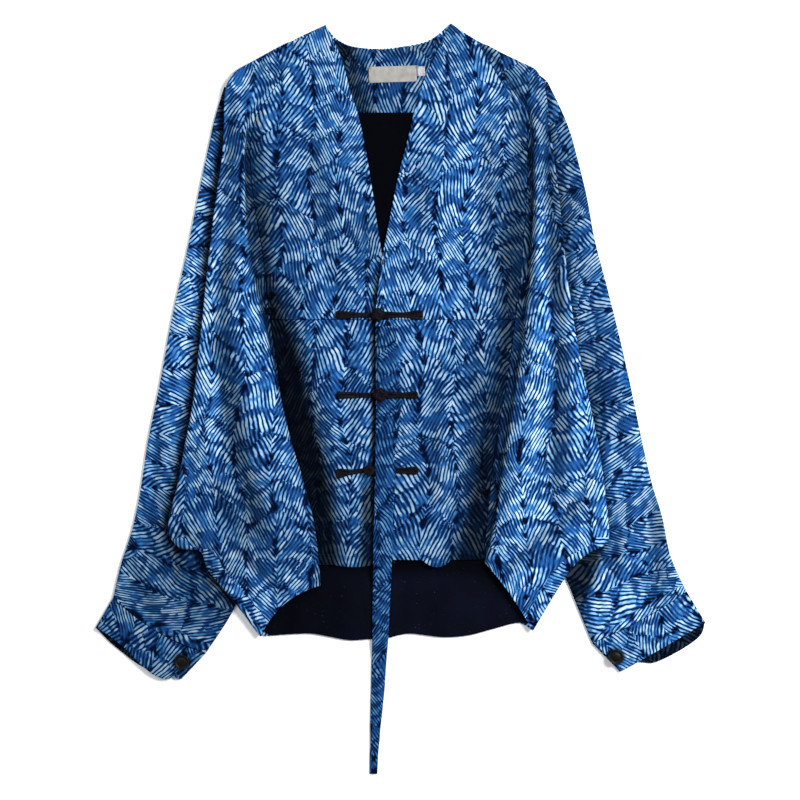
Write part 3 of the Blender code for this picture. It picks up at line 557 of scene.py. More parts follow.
def dyeStrokes(tree, look, place, block, fold):
    # How blue the strokes and the lines between them are. Strokes lie in rows, each row's shifted sideways
    wander = flatNoise(tree, place, 17, 1.0)
    strokeLength = addNode(tree, "MapRange", {"Value": block["chance"], "To Min": look["shortest"],
                                              "To Max": look["longest"]})
    inLengths = addNode(tree, "Math", {0: block["across"].outputs["Y"], 1: strokeLength}, operation="DIVIDE")
    along = addNode(tree, "Math", {0: wander, 1: 1.5, 2: inLengths}, operation="MULTIPLY_ADD")
    strokeRow = addNode(tree, "Math", {0: along}, operation="FLOOR")
    rowPlace = addNode(tree, "CombineXYZ", {"X": strokeRow, "Y": block["row"], "Z": block["column"]})
    rowChance = addNode(tree, "TexWhiteNoise", {"Vector": rowPlace}, noise_dimensions="3D")
    wobble = flatNoise(tree, place, 9, 1.0)
    wobbleBy = addNode(tree, "MapRange", {"Value": wobble, "To Min": -0.8, "To Max": 0.8})
    wandering = addNode(tree, "Math", {0: block["across"].outputs["X"], 1: wobbleBy}, operation="ADD")
    inPitches = addNode(tree, "Math", {0: wandering, 1: look["strokePitch"]}, operation="DIVIDE")
    count = addNode(tree, "Math", {0: rowChance.outputs["Value"], 1: 0.4, 2: inPitches},
                    operation="MULTIPLY_ADD")
    strokeNumber = addNode(tree, "Math", {0: count}, operation="FLOOR")
    strokeAt = addNode(tree, "CombineXYZ", {"X": strokeNumber, "Y": strokeNumber, "Z": strokeNumber})
    strokeSeed = addNode(tree, "VectorMath", {0: rowPlace, 1: (37.0, 11.0, 5.0), 2: strokeAt},
                         operation="MULTIPLY_ADD")
    strokeNoise = addNode(tree, "TexWhiteNoise", {"Vector": strokeSeed}, noise_dimensions="3D")
    stroke = addNode(tree, "SeparateColor", {"Color": strokeNoise.outputs["Color"]})
    # A stroke is widest in its middle and tapers to both ends; pong is 0 halfway between two strokes and 0.5
    # on a stroke's middle line
    pong = addNode(tree, "Math", {0: count, 1: 0.5}, operation="PINGPONG")
    slid = addNode(tree, "Math", {0: stroke.outputs["Green"], 1: 0.34, 2: along}, operation="MULTIPLY_ADD")
    fromEnd = addNode(tree, "Math", {0: slid, 1: 0.5}, operation="PINGPONG")
    taper = addNode(tree, "MapRange", {"Value": fromEnd, "From Max": 0.44}, interpolation_type="SMOOTHSTEP")
    widest = addNode(tree, "MapRange", {"Value": stroke.outputs["Blue"], "To Min": 0.28, "To Max": 0.44})
    reach = addNode(tree, "Math", {0: taper, 1: widest, 2: pong}, operation="MULTIPLY_ADD")
    # Painted light: where the fold attribute is below 0, the pale strokes widen, so the cloth looks paler
    # where it rises to the light
    paintedLight = addNode(tree, "MapRange", {"Value": fold, "From Min": -0.5, "From Max": 0.0,
                                          "To Min": 0.3, "To Max": 0.0})
    wider = addNode(tree, "Math", {0: reach, 1: paintedLight}, operation="ADD")
    pale = addNode(tree, "MapRange", {"Value": wider, "From Min": 0.34, "From Max": 0.73},
                   interpolation_type="SMOOTHSTEP")
    offLine = addNode(tree, "MapRange", {"Value": pong, "From Min": 0.03, "From Max": 0.26},
                      interpolation_type="SMOOTHSTEP")
    # How pale the stroke is and how dark the line beside it
    grain = flatNoise(tree, place, 6, 2.0)
    brightness = addNode(tree, "Math", {0: stroke.outputs["Red"], 1: 0.5, 2: grain}, operation="MULTIPLY_ADD")
    paleLevel = addNode(tree, "MapRange", {"Value": brightness, "From Min": 0.3, "From Max": 1.1,
                                           "To Min": look["palest"][0], "To Max": look["palest"][1]})
    darkLevel = addNode(tree, "MapRange", {"Value": wander, "From Min": 0.3, "From Max": 0.7,
                                           "To Min": 0.0, "To Max": 0.17})
    between = addNode(tree, "Mix", {"Factor": pale, "A": look["between"], "B": paleLevel})
    struck = addNode(tree, "Mix", {"Factor": offLine, "A": darkLevel, "B": between})
    # The dye took more evenly in some places, so that the strokes fade to a middle blue there
    even = flatNoise(tree, block["bent"], 16, 2.5)
    fading = addNode(tree, "MapRange", {"Value": even, "From Min": 0.5, "From Max": 0.7,
                                        "To Min": 0.0, "To Max": 0.75}, interpolation_type="SMOOTHSTEP")
    return addNode(tree, "Mix", {"Factor": fading, "A": struck, "B": 0.4})


def dyeKnots(tree, look, block):
    # Dark knots along the spines and where the blocks meet
    toSpine = addNode(tree, "Math", {0: block["fromSpine"], 1: look["column"] / 2}, operation="PINGPONG")
    nearSpine = addNode(tree, "MapRange", {"Value": toSpine, "From Min": 0.6, "From Max": 5.5,
                                           "To Min": 1.0, "To Max": 0.0}, interpolation_type="SMOOTHSTEP")
    toRow = addNode(tree, "Math", {0: block["inRow"], 1: 0.5}, operation="PINGPONG")
    nearRow = addNode(tree, "MapRange", {"Value": toRow, "From Min": 0.01, "From Max": 0.06,
                                         "To Min": 0.6, "To Max": 0.0}, interpolation_type="SMOOTHSTEP")
    either = addNode(tree, "Math", {0: nearSpine, 1: nearRow}, operation="MAXIMUM")
    chance = flatNoise(tree, block["bent"], 12, 1.0)
    depth = addNode(tree, "MapRange", {"Value": chance, "From Min": 0.5, "From Max": 0.64,
                                       "To Min": 0.0, "To Max": 0.45})
    return addNode(tree, "Math", {0: either, 1: depth}, operation="MULTIPLY")


def dyedCotton(name, changes):
    look = {**dyeing, **changes}
    material, tree, shader = newMaterial(name)
    place = threadPlace(tree)
    # fold is the painted shade of each place, and painted light where it is below 0
    fold = paintedShadeDepth(tree)
    block = dyeBlocks(tree, look, place)
    strokes = dyeStrokes(tree, look, place, block, fold)
    knots = dyeKnots(tree, look, block)
    dye = addNode(tree, "Math", {0: strokes, 1: knots}, operation="SUBTRACT", use_clamp=True)
    dyed = addNode(tree, "ValToRGB", {"Fac": dye})
    setRamp(dyed, look["colours"])
    # Painted shade: by the fold attribute the cloth turns navy, and black in the deepest folds
    shadow = addNode(tree, "ValToRGB", {"Fac": fold})
    setRamp(shadow, look["shadows"])
    paintedDeepShade = addNode(tree, "Mix", {0: fold, 6: dyed, 7: shadow}, data_type="RGBA")
    # Yarns show as a fine grain, drawn twice as coarse as the real 0.5 mm so that it shows
    weave = flatNoise(tree, place, 1.0, 1.0)
    relief = addNode(tree, "Math", {0: weave, 1: 0.5, 2: dye}, operation="MULTIPLY_ADD")
    bump = addNode(tree, "Bump", {"Height": relief, "Strength": 0.4, "Distance": 0.5 * mm})
    plug(tree, shader, {"Base Color": paintedDeepShade.outputs[2], "Normal": bump, "Roughness": 0.95,
                        "Specular IOR Level": 0.025})
    return material


def activate(piece):
    bpy.ops.object.select_all(action="DESELECT")
    piece.select_set(True)
    bpy.context.view_layer.objects.active = piece


def applyModifiers(piece):
    activate(piece)
    for modifier in list(piece.modifiers):
        bpy.ops.object.modifier_apply(modifier=modifier.name)


def addBevel(piece, name, width, segments, angle):
    rounding = piece.modifiers.new(name, "BEVEL")
    rounding.width = width * mm
    rounding.segments = segments
    rounding.limit_method = "ANGLE"
    rounding.angle_limit = angle


def dress(piece, finish):
    piece.data.materials.clear()
    piece.data.materials.append(finish)


sheets = {}  # the middle of each sheet's wall, row by row, for the stitches that lie on it


def clothSheet(name, rows, threads, wall, finish, ring=False, paintedShades=None, seam=None, grain=(0, 1)):
    # A sheet through rows of points. threads gives each point its place in the cloth for the dyeing,
    # paintedShades the depth of painted shade there (painted light below 0), and seam(i, j) is true for faces
    # cut from another part of the cloth, along grain.
    sheets[name] = rows
    farX, farY = cutPlace["side strip"]
    columns = len(rows[0])
    steps = columns if ring else columns - 1
    faces = []
    corners = []
    for i in range(len(rows) - 1):
        for j in range(steps):
            k = (j + 1) % columns
            faces.append((i * columns + j, i * columns + k, (i + 1) * columns + k, (i + 1) * columns + j))
            wrap = columns if ring and k == 0 else k
            square = [threads[i][j], threads[i][wrap], threads[i + 1][wrap], threads[i + 1][j]]
            if seam and seam(i, j):
                square = [(farX + u * grain[0] + v * grain[1], farY - u * grain[1] + v * grain[0])
                          for u, v in square]
            corners += square
    mesh = bpy.data.meshes.new(name)
    mesh.from_pydata([point * mm for row in rows for point in row], [], faces)
    layer = mesh.uv_layers.new(name="cloth")
    layer.data.foreach_set("uv", [value * mm for corner in corners for value in corner])
    # The fold attribute carries painted shade, and painted light where it is below 0
    depth = mesh.attributes.new("fold", "FLOAT", "POINT")
    if paintedShades:
        depth.data.foreach_set("value", [value for row in paintedShades for value in row])
    mesh.materials.append(finish)
    sheet = bpy.data.objects.new(name, mesh)
    bpy.context.scene.collection.objects.link(sheet)
    activate(sheet)
    thickness = sheet.modifiers.new("wall", "SOLIDIFY")
    thickness.thickness = wall * mm
    thickness.offset = 0
    addBevel(sheet, "soft edge", 0.28 * wall, 2, 1.0)
    applyModifiers(sheet)
    bpy.ops.object.shade_smooth()
    return sheet


def settle(piece, node=None):
    # A finished piece rides on the jacket, in place of a CAD node if it has one
    if node:
        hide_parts(node)
    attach(piece, "root")


def settleSheet(sheet, node):
    # A sheet settles like any other piece
    settle(sheet, node)


# The wings, puffed up and folded under at both sides
wing = {
    # Soft folds, uneven as the cloth fell: the two ends of the line (x, y each), half width and height
    "creases": {
        "left": (
            (-183, 325, -196, 60, 13, -3.4), (-196, 60, -178, -60, 16, -3.8),
            (-178, -60, -150, -160, 15, -3.0), (-208, 20, -215, -120, 10, 2.4),
            (-160, 250, -168, 120, 8, 2.2), (-150, 60, -128, -90, 10, 2.6),
            (-225, -60, -176, -150, 9, -2.2), (-240, -115, -150, -212, 8, 2.4),
            (-200, -150, -128, -215, 7, -2.4), (-118, -100, -112, -200, 9, 1.8),
            (-170, 345, -142, 372, 9, -1.6), (-186, 250, -203, 140, 7, 1.6), (-247, -153, -236, -160, 5, 1.8),
        ),
        "right": (
            (160, 320, 166, 170, 10, -2.8), (166, 170, 178, 40, 12, -3.6), (178, 40, 172, -110, 14, -3.6),
            (196, 20, 213, -120, 9, 2.6), (146, 240, 152, 110, 8, 1.8), (150, 80, 140, -60, 12, 3.0),
            (132, -60, 118, -170, 10, 2.4), (214, -90, 150, -170, 9, -2.4), (205, -150, 130, -215, 8, 2.2),
            (160, -140, 110, -196, 7, -2.0), (128, 356, 152, 338, 8, -1.6), (160, 100, 190, 60, 9, 1.5),
        ),
    },
    # How much less light reaches the cloth: depth of the shade and the height where it holds
    "shade": {
        "left": ((0.2, 400), (0.14, 330), (-0.02, 120), (0.02, 0), (0.32, -110), (0.42, -200), (0.2, -262)),
        "right": ((0.55, 400), (0.44, 335), (0.12, 280), (-0.12, 130), (-0.15, 0), (-0.08, -120),
                  (0.05, -260)),
    },
    # Painted shadow lines where the left corner's cloth is rolled under
    "rollShadowLines": {"left": ((-246, -149, -234, -147), (-234, -147, -222, -162)), "right": ()},
    "sideStrip": 17.0,  # cloth of the side that comes round to the front below the corner
    "stripGrain": {"left": (0.67, -0.74), "right": (-0.65, -0.76)},  # the way that strip runs
    "hemStitches": 15.0,
    "hemColumns": (26, 78),  # columns that lie on top at the hem, where its stitches show
}


def wingSection(row):
    # The points that a section's curve follows, from the raglan seam over the top to the cloth turned under
    seamX, seamY, foldX, foldY, outerX, outerY, lip, crest, edge, under, turned, bow = row
    seam = flatPoint(seamX, seamY)
    fold = flatPoint(foldX, foldY)
    outer = flatPoint(outerX, outerY)
    sideOn = flatPoint(1 if outerX > seamX else -1, 0)
    outwards = sideOn.lerp((outer - seam).normalized(), smoothStep((seamY - 230) / 60))
    across = outer - fold
    towardsNeck = flatPoint(-across.y, across.x).normalized()
    if towardsNeck.y < 0:
        towardsNeck = -towardsNeck
    seam = seam + sideOn * cloth["seam"]
    strip = min(turnWidth, across.length / 5)
    turn = seam + outwards * strip
    rise = lip - frontZ
    ramp = clamp((fold - turn).dot(outwards) / 3)  # 0 where the fold lies back over the seam
    slope = (fold - turn) * ramp
    back = across.normalized() * turned  # points outwards along the shoulder, where nothing is turned under
    spare = clamp(-turned / 2)
    drop = (edge - under) * spare

    def top(part, height):
        return place3(fold + across * part + towardsNeck * (bow * 4 * part * (1 - part)), height)

    def below(share, height):
        if turned > 0:
            return top(1 - turned * share / across.length, height)
        return place3(outer - back * share, height)

    return [
        place3(seam, frontZ),
        place3(seam + outwards * strip / 2, frontZ),
        place3(turn, frontZ),
        place3(turn + slope * 0.35, frontZ + rise * (0.5 - 0.35 * ramp)),
        place3(fold - slope * 0.3, frontZ + rise * (0.5 + 0.1 * ramp)),
        place3(fold, lip),
        top(0.1, lip + 0.55 * (crest - lip)),
        top(0.28, crest),
        top(0.5, crest),
        top(0.72, crest - 0.4 * (crest - edge)),
        top(0.9, edge + 0.15 * (crest - edge)),
        place3(outer, edge),
        below(spare / 3, under + drop * 2 / 3),
        below(1 / 2 + spare / 6, under + drop / 3),
        below(1, under),
    ]


def wingShade(side, point, control, lipPlace, trough):
    # Painted shade on a wing: in a trough, before or under the inner fold, along the inner fold's lip, and
    # where the corner is rolled under
    # Painted shade on the cloth before and under the inner fold
    underFoldShade = 0.85 * (1 - smoothStep((control - 3.6) / 1.1)) * smoothStep((330 - point.y) / 60)
    fromRoll = [fromLine(point.x, point.y, line)[0] for line in wing["rollShadowLines"][side]]
    rollShadow = 0.75 * hump(min(fromRoll), 2.2) if fromRoll else 0
    shade = readLine(wing["shade"][side], point.y)
    # Painted shade along the lip of the inner fold
    lip = 0.34 * smoothStep((11 - dist((point.x, point.y), lipPlace)) / 11)
    return softShade("wing", point.x, point.y, layered(max(trough, underFoldShade, rollShadow), shade, lip))


def buildWing(side, finish):
    rowCount, columnCount = fineness["wing"]
    seed, toRight = (1, -1) if side == "left" else (2, 1)
    fineRows = spread(wingTable[side], rowCount, 6)
    # Beside which of a section's points each column lies, and the column on top of the wing
    controls = [16 * j / (columnCount - 1) - 1 for j in range(columnCount)]
    middle = min(range(columnCount), key=lambda j: abs(controls[j] - 8))
    rows, threads, paintedShades, strip = [], [], [], []
    for number, row in enumerate(fineRows):
        section = softSection(wingSection(row), columnCount)
        end = min(1, (rowCount - 1 - number) / 6 + 0.25)  # the creases fade out at the hem
        paintedShadeRow, stripRow = [], []
        for point, control in zip(section, controls):
            onTop = smoothStep((control - 4.4) / 1.8) * smoothStep((11.6 - control) / 1.6)
            thin = smoothStep((point.z - 5) / 5)  # near the shoulder the cloth lies flat
            crease = creaseHeight(wing["creases"][side], point.x, point.y)
            lift = crease + handRipple(point.x, point.y, seed)
            # The side strip's seam draws the cloth down a little
            fromOuter = dist((point.x, point.y), row[4:6])
            lift -= 0.9 * hump(fromOuter - wing["sideStrip"], 1.6) * smoothStep((-150 - point.y) / 14)
            point.z += lift * onTop * thin * end
            stripRow.append(point.y < -152 and (fromOuter < wing["sideStrip"] or control > 11))
            trough = troughShade(crease, 3.9, 0.75) * onTop
            paintedShadeRow.append(wingShade(side, point, control, row[2:4], trough))
        rows.append(section)
        paintedShades.append(paintedShadeRow)
        strip.append(stripRow)
        travelled = lengthsAlong(section)
        threads.append([(section[middle].x + toRight * (gone - travelled[middle]), point.y)
                        for point, gone in zip(section, travelled)])
    sheet = clothSheet(f"wing_{side}_cloth", rows, threads, cloth["wall"], finish, paintedShades=paintedShades,
                       seam=lambda i, j: strip[i][j], grain=wing["stripGrain"][side])
    settleSheet(sheet, f"wing_{side}")
    return fineRows


print("stage 1: dyed cotton and the wings")
dyed = dyedCotton("resist-dyed cotton", {})
wingRows = {side: buildWing(side, dyed) for side in wingTable}
seamLine = {side: [(row[0], row[1]) for row in wingRows[side]] for side in wingTable}
lipLine = {side: [(row[2], row[3]) for row in wingRows[side]] for side in wingTable}
outerLine = {side: [(row[4], row[5]) for row in wingRows[side]] for side in wingTable}
edgeLine = {side: spread(frontEdge[side], 160, 2) for side in frontEdge}

# The fronts, cut across at the waist and closed right over left
front = {
    "creases": {
        "left": (
            (-98, 300, -72, 120, 12, -1.6), (-60, 330, -44, 180, 9, 1.5), (-80, 60, -64, -90, 13, 2.0),
            (-50, 74, -56, -40, 8, -1.4), (-92, -20, -84, -150, 10, -1.6), (-40, -100, -60, -178, 8, 1.2),
            (-118, 340, -92, 300, 9, 1.2),
        ),
        "right": (
            (66, 320, 54, 150, 12, 1.9), (98, 300, 90, 120, 10, -1.7), (30, 260, 20, 140, 9, -1.2),
            (78, 70, 60, -100, 13, 2.2), (46, 30, 34, -120, 9, -1.5), (40, -130, 40, -186, 11, 2.6),
            (84, -60, 74, -150, 9, -1.6), (20, -110, 12, -180, 8, 1.2), (60, -140, 64, -184, 7, -1.4),
        ),
    },
    "waistDip": 0.7,  # how far the waist seam draws the cloth down
    # Painted shadow in the valley beside each wing, by height: y, depth, how far it reaches from the wing's
    # lip
    "valleyShadow": {
        "left": ((400, 0, 10), (345, 0.05, 14), (310, 0.55, 24), (230, 0.7, 30), (150, 0.86, 38),
                 (90, 0.96, 48), (60, 0.98, 53), (-27, 0.99, 57), (-52, 0.99, 53), (-102, 0.98, 43),
                 (-128, 0.97, 40), (-153, 0.96, 40), (-186, 0.95, 36)),
        "right": ((400, 0, 10), (345, 0.25, 18), (310, 0.6, 32), (230, 0.75, 42), (150, 0.82, 48),
                  (60, 0.87, 52), (-30, 0.87, 56), (-100, 0.92, 60), (-186, 0.93, 62)),
    },
    "shade": {
        "left": ((0.24, 412), (0.2, 340), (0.33, 200), (0.33, 90), (0.28, 0), (0.3, -95), (0.5, -150),
                 (0.5, -186)),
        "right": ((0.42, 412), (0.3, 340), (0.12, 230), (0.16, 120), (0.36, 10), (0.4, -186)),
    },
    "hemStitches": 11.5,
    "closingShadow": 8.0,  # how far the right front's shadow lies over the left one
}


def frontHeight(side, x, seamX, edgeX, y):
    # Height of the middle of a front's wall: it lifts off the seam, and the right one climbs over the left
    fromEdge = abs(edgeX - x)
    lifted = smoothStep((abs(x - seamX) - 12) / 45)
    if side == "left":
        seed = 3
        free = smoothStep((fromEdge - lap - 6) / 45)
        low = frontZ
        height = frontZ + lifted * puff * free
    else:
        seed = 4
        free = 1.0
        climb = lapRise * smoothStep((neckY + 47 - y) / 40)
        over = smoothStep((lap + 14 - fromEdge) / 10)
        low = frontZ + climb * max(over, 0.2) * lifted
        height = frontZ + lifted * (climb + (puff - climb) * smoothStep(fromEdge / 50))
    lift = (creaseHeight(front["creases"][side], x, y) + handRipple(x, y, seed)) * lifted * free
    if lift < 0:
        lift *= min(1, max(height - low, 0) / 3.0)
    # The waist seam draws the cloth down and leaves fine puckers beside it
    fromWaist = abs(y - waistY)
    lift -= min(front["waistDip"] * hump(fromWaist, 2.2) * lifted, max(height + lift - low, 0))
    lift += 0.35 * lifted * free * sin(x * 0.62 + 2 * sin(x * 0.11)) * hump(fromWaist, 9)
    return height + max(lift, low - height)


def wingShadowOnFront(side, x, y):
    # Painted shadow of the wing that folds over the front
    table = front["valleyShadow"][side]
    depth = readLine([(row[1], row[0]) for row in table], y)
    reach = readLine([(row[2], row[0]) for row in table], y)
    away = abs(x - readLine(lipLine[side], y))
    reach *= 1 + 0.16 * noise.noise(Vector((y / 60, 3.1 if side == "left" else 8.7, 0)))
    return depth * smoothStep((reach - away) / (reach * 0.58))


def frontShade(side, x, y):
    # Painted shade on a front: in a trough, the wing's painted shadow beside it, and the right front's
    # painted shadow below its edge
    overlapShadow = 0.0
    if side == "left":
        away = readLine(edgeLine["right"], y) - x
        near = smoothStep((front["closingShadow"] - away) / 5) * smoothStep((neckY + 14 - y) / 40)
        # Lower down the shadow is wider and softer
        low = 0.85 * smoothStep((20 - away) / 10) * smoothStep((-78 - y) / 24)
        overlapShadow = max(0.94 * near, low)
    trough = troughShade(creaseHeight(front["creases"][side], x, y), 3.6, 0.45)
    shade = readLine(front["shade"][side], y)
    return softShade("front", x, y, layered(max(wingShadowOnFront(side, x, y), overlapShadow, trough), shade))


def buildFront(side, part, finish):
    columnCount = fineness["front"]
    line = seamLine[side]
    topY = line[0][1]
    if part == "upper":
        heights = [y for x, y in line if y > waistY + 2.4] + [waistY + 1.2, waistY + cloth["seam"]]
    else:
        heights = [waistY - cloth["seam"], waistY - 1.2] + [y for x, y in line if y < waistY - 2.4]
    dipX, dipWidth, dip = hemDip[side]
    rows, paintedShades = [], []
    for seamY in heights:
        seamX = readLine(line, seamY) + (cloth["seam"] if side == "left" else -cloth["seam"])
        rise = (edgeLine[side][0][1] - topY) * max((seamY - shoulderStart) / (topY - shoulderStart), 0)
        edgeX = readLine(edgeLine[side], seamY + rise)
        hem = smoothStep((-140 - seamY) / 40)
        row, paintedShadeRow = [], []
        for j in range(columnCount):
            share = j / (columnCount - 1)
            x = seamX + (edgeX - seamX) * share
            y = seamY + rise * share + hem * dip * max(0, 1 - ((x - dipX) / dipWidth) ** 2)
            row.append(Vector((x, y, frontHeight(side, x, seamX, edgeX, y))))
            paintedShadeRow.append(frontShade(side, x, y))
        rows.append(row)
        paintedShades.append(paintedShadeRow)
    name = f"front_{side}_{part}"
    sheet = clothSheet(f"{name}_cloth", rows, cutFlat(rows, name), cloth["wall"], finish, paintedShades=paintedShades)
    settleSheet(sheet, name)


print("stage 2: the fronts")
for side in wingTable:
    for part in ("upper", "lower"):
        buildFront(side, part, dyed)


def surfaceHeight(side, x, y):
    # Height of a front panel's outer face
    middle = frontHeight(side, x, readLine(seamLine[side], y), readLine(edgeLine[side], y), y)
    return middle + cloth["wall"] / 2


def makeCords(lines, closed=False, fine=4):
    # Mesh tubes, one along each line of points that carry their own radius: (x, y, z, radius)
    curve = bpy.data.curves.new("cord", "CURVE")
    curve.dimensions = "3D"
    curve.bevel_depth = mm
    curve.bevel_resolution = fine
    curve.use_fill_caps = not closed
    for points in lines:
        spline = curve.splines.new("POLY")
        spline.points.add(len(points) - 1)
        for target, (x, y, z, radius) in zip(spline.points, points):
            target.co = (x * mm, y * mm, z * mm, 1)
            target.radius = radius
        spline.use_cyclic_u = closed
    cord = bpy.data.objects.new("cord", curve)
    bpy.context.scene.collection.objects.link(cord)
    activate(cord)
    bpy.ops.object.convert(target="MESH")
    return bpy.context.object


# Machine stitches: each dips into the cloth at both ends
stitch = {"length": 2.4, "gap": 0.9, "radius": 0.22}


def hemLine(rows, inset, first, last):
    # A line on the cloth at a distance up from the last row, over some of the columns
    columns = [column[::-1] for column in list(zip(*rows))[first:last]]
    return [placeAfter(column, lengthsAlong(column), inset) for column in columns]


def sewLine(name, line, finish):
    # Stitches along a line in the middle of a sheet's wall, lying on its upper face
    travelled = lengthsAlong(line)
    threads = []
    start = 1.0
    while start + stitch["length"] < travelled[-1]:
        points = []
        for part in (0, 0.25, 0.5, 0.75, 1):
            place = placeAfter(line, travelled, start + stitch["length"] * part)
            rise = cloth["wall"] / 2 + 0.05 - 0.5 * (2 * part - 1) ** 4
            points.append((place.x, place.y, place.z + rise, stitch["radius"]))
        threads.append(points)
        start += stitch["length"] + stitch["gap"] * random.uniform(0.8, 1.2)
    seam = makeCords(threads, fine=1)
    seam.name = name
    dress(seam, finish)
    bpy.ops.object.shade_smooth()
    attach(seam, "root")


def sewingThread():
    # Dark navy polyester thread
    material, tree, shader = newMaterial("navy sewing thread")
    place = addNode(tree, "TexCoord")
    twist = addNode(tree, "TexNoise", {"Vector": place.outputs["Object"], "Scale": 1 / (0.5 * mm)})
    shade = addNode(tree, "ValToRGB", {"Fac": twist})
    setRamp(shade, ((0.3, "#050a1e"), (0.8, "#16244e")))
    plug(tree, shader, {"Base Color": shade, "Roughness": 0.7, "Specular IOR Level": 0.1})
    return material


print("stage 3: hem stitches")
thread = sewingThread()
for side in wingTable:
    wingHem = hemLine(sheets[f"wing_{side}_cloth"], wing["hemStitches"], *wing["hemColumns"])
    sewLine(f"wing_{side}_hem_stitches", wingHem, thread)
    frontHem = hemLine(sheets[f"front_{side}_lower_cloth"], front["hemStitches"], 1, -1)
    sewLine(f"front_{side}_hem_stitches", frontHem, thread)


# Sleeves: flattened tubes on the floor, with soft folds only where nothing lies on them
sleeve = {
    "creases": {
        "left": (
            (-232, 150, -268, -20, 6, 1.3), (-262, -20, -272, -120, 8, -1.1), (-290, -80, -262, -190, 9, 1.8),
            (-250, -160, -236, -230, 9, -1.5), (-222, -180, -262, -246, 8, 1.6),
            (-300, -170, -272, -236, 8, -1.2), (-200, -210, -222, -262, 7, 1.2),
            (-288, -60, -300, -150, 6, 1.2),
        ),
        "right": (
            (206, 180, 232, 60, 6, 1.2), (236, 20, 252, -90, 8, -1.1), (258, -60, 262, -180, 9, 1.7),
            (246, -150, 226, -226, 9, -1.5), (206, -180, 250, -238, 8, 1.6), (282, -150, 290, -222, 8, -1.2),
            (196, -200, 214, -252, 7, 1.2), (270, -110, 292, -190, 6, 1.2),
        ),
    },
    "cuffGather": 0.9,  # height of the gathers where the sleeve is eased into its cuff
    "shadow": {"left": 17.0, "right": 11.0},  # how far the wing's shadow lies over the sleeve
    "shade": {
        "left": ((0.1, 350), (0.04, 0), (0.1, -90), (0.42, -150), (0.54, -215), (0.5, -280)),
        "right": ((0.46, 350), (0.42, 150), (0.26, 30), (0.06, -90), (-0.22, -170), (-0.2, -215),
                  (0.2, -270)),
    },
    # How far the shadow under the wing's side reaches from the inner fold, and the height where it does
    "inner": {
        "left": ((70, -135), (52, -165), (38, -191), (22, -215), (14, -238), (6, -268)),
        "right": ((70, -135), (54, -167), (24, -209), (10, -230), (5, -262)),
    },
}


def alongSleeve(over, under):
    # The direction down the sleeve, square to a section
    across = (under - over).normalized()
    away = flatPoint(-across.y, across.x)
    return -away if away.y > 0 else away


def tubeSection(over, under, bow, stations):
    # Points across a flattened tube, each at a distance from its overarm fold and at a height
    across = under - over
    away = alongSleeve(over, under)
    section = []
    for distance, height in stations:
        part = distance / across.length
        section.append(place3(over + across * part + away * (bow * 4 * part * (1 - part)), height))
    return section


def sleeveSection(row):
    # The points that a sleeve's ring follows, along the floor and back over the top
    overX, overY, underX, underY, bow = row
    over = flatPoint(overX, overY)
    under = flatPoint(underX, underY)
    width = (under - over).length
    low = 3.2 + 0.6 * smoothStep((width - 20) / 40)
    swell = 3.3 + (sleeveTop - 3.3) * smoothStep((width - 20) / 60)
    rim = min(5, width * 0.25)
    stations = (
        (1, floorZ), (rim, floorZ), (width * 0.35, floorZ), (width * 0.65, floorZ),
        (width - rim, floorZ), (width - 1, floorZ), (width, 2.0), (width - 1, low), (width - rim, low),
        (width * 0.65, swell), (width * 0.35, swell), (rim, swell), (1, low), (0, 2.0),
    )
    return tubeSection(over, under, bow, stations)


def outsideWing(side, x, y):
    # How far a place on the sleeve lies past the wing's outer fold, or below the wing
    outer = min(dist((x, y), point) for point in outerLine[side][::3])
    line = outerLine[side]
    under = y > line[-1][1] and abs(x) < abs(readLine(line, y))
    return -outer if under else outer


def sleeveShade(side, point, clear, fromUnder, crease):
    # Painted shade on a sleeve: beside the wing, in a trough, under the wing's side, and on the floor layer
    # The floor layer, seen inside the tube, is painted dark as painted shade
    if point.z <= 1.4:
        return 0.95
    # Painted shadow of the wing beside its outer fold, wider and softer lower down
    beside = 0.94 * smoothStep((sleeve["shadow"][side] - clear) / 12)
    beside = max(beside, 0.5 * smoothStep((58 - clear) / 54) * smoothStep((-60 - point.y) / 80))
    shade = readLine(sleeve["shade"][side], point.y)
    inner = readLine(sleeve["inner"][side], point.y)
    # Painted shadow under the wing's side, reaching out from the inner fold
    paintedDeepShade = 0.96 * smoothStep((inner + 5 - fromUnder) / 13) * smoothStep((-130 - point.y) / 16)
    paintedDeepShade *= 1 - 0.4 * smoothStep((-216 - point.y) / 30)
    depth = max(layered(beside, troughShade(crease, 2.6, 0.5), shade), paintedDeepShade)
    return softShade("sleeve", point.x, point.y, depth)


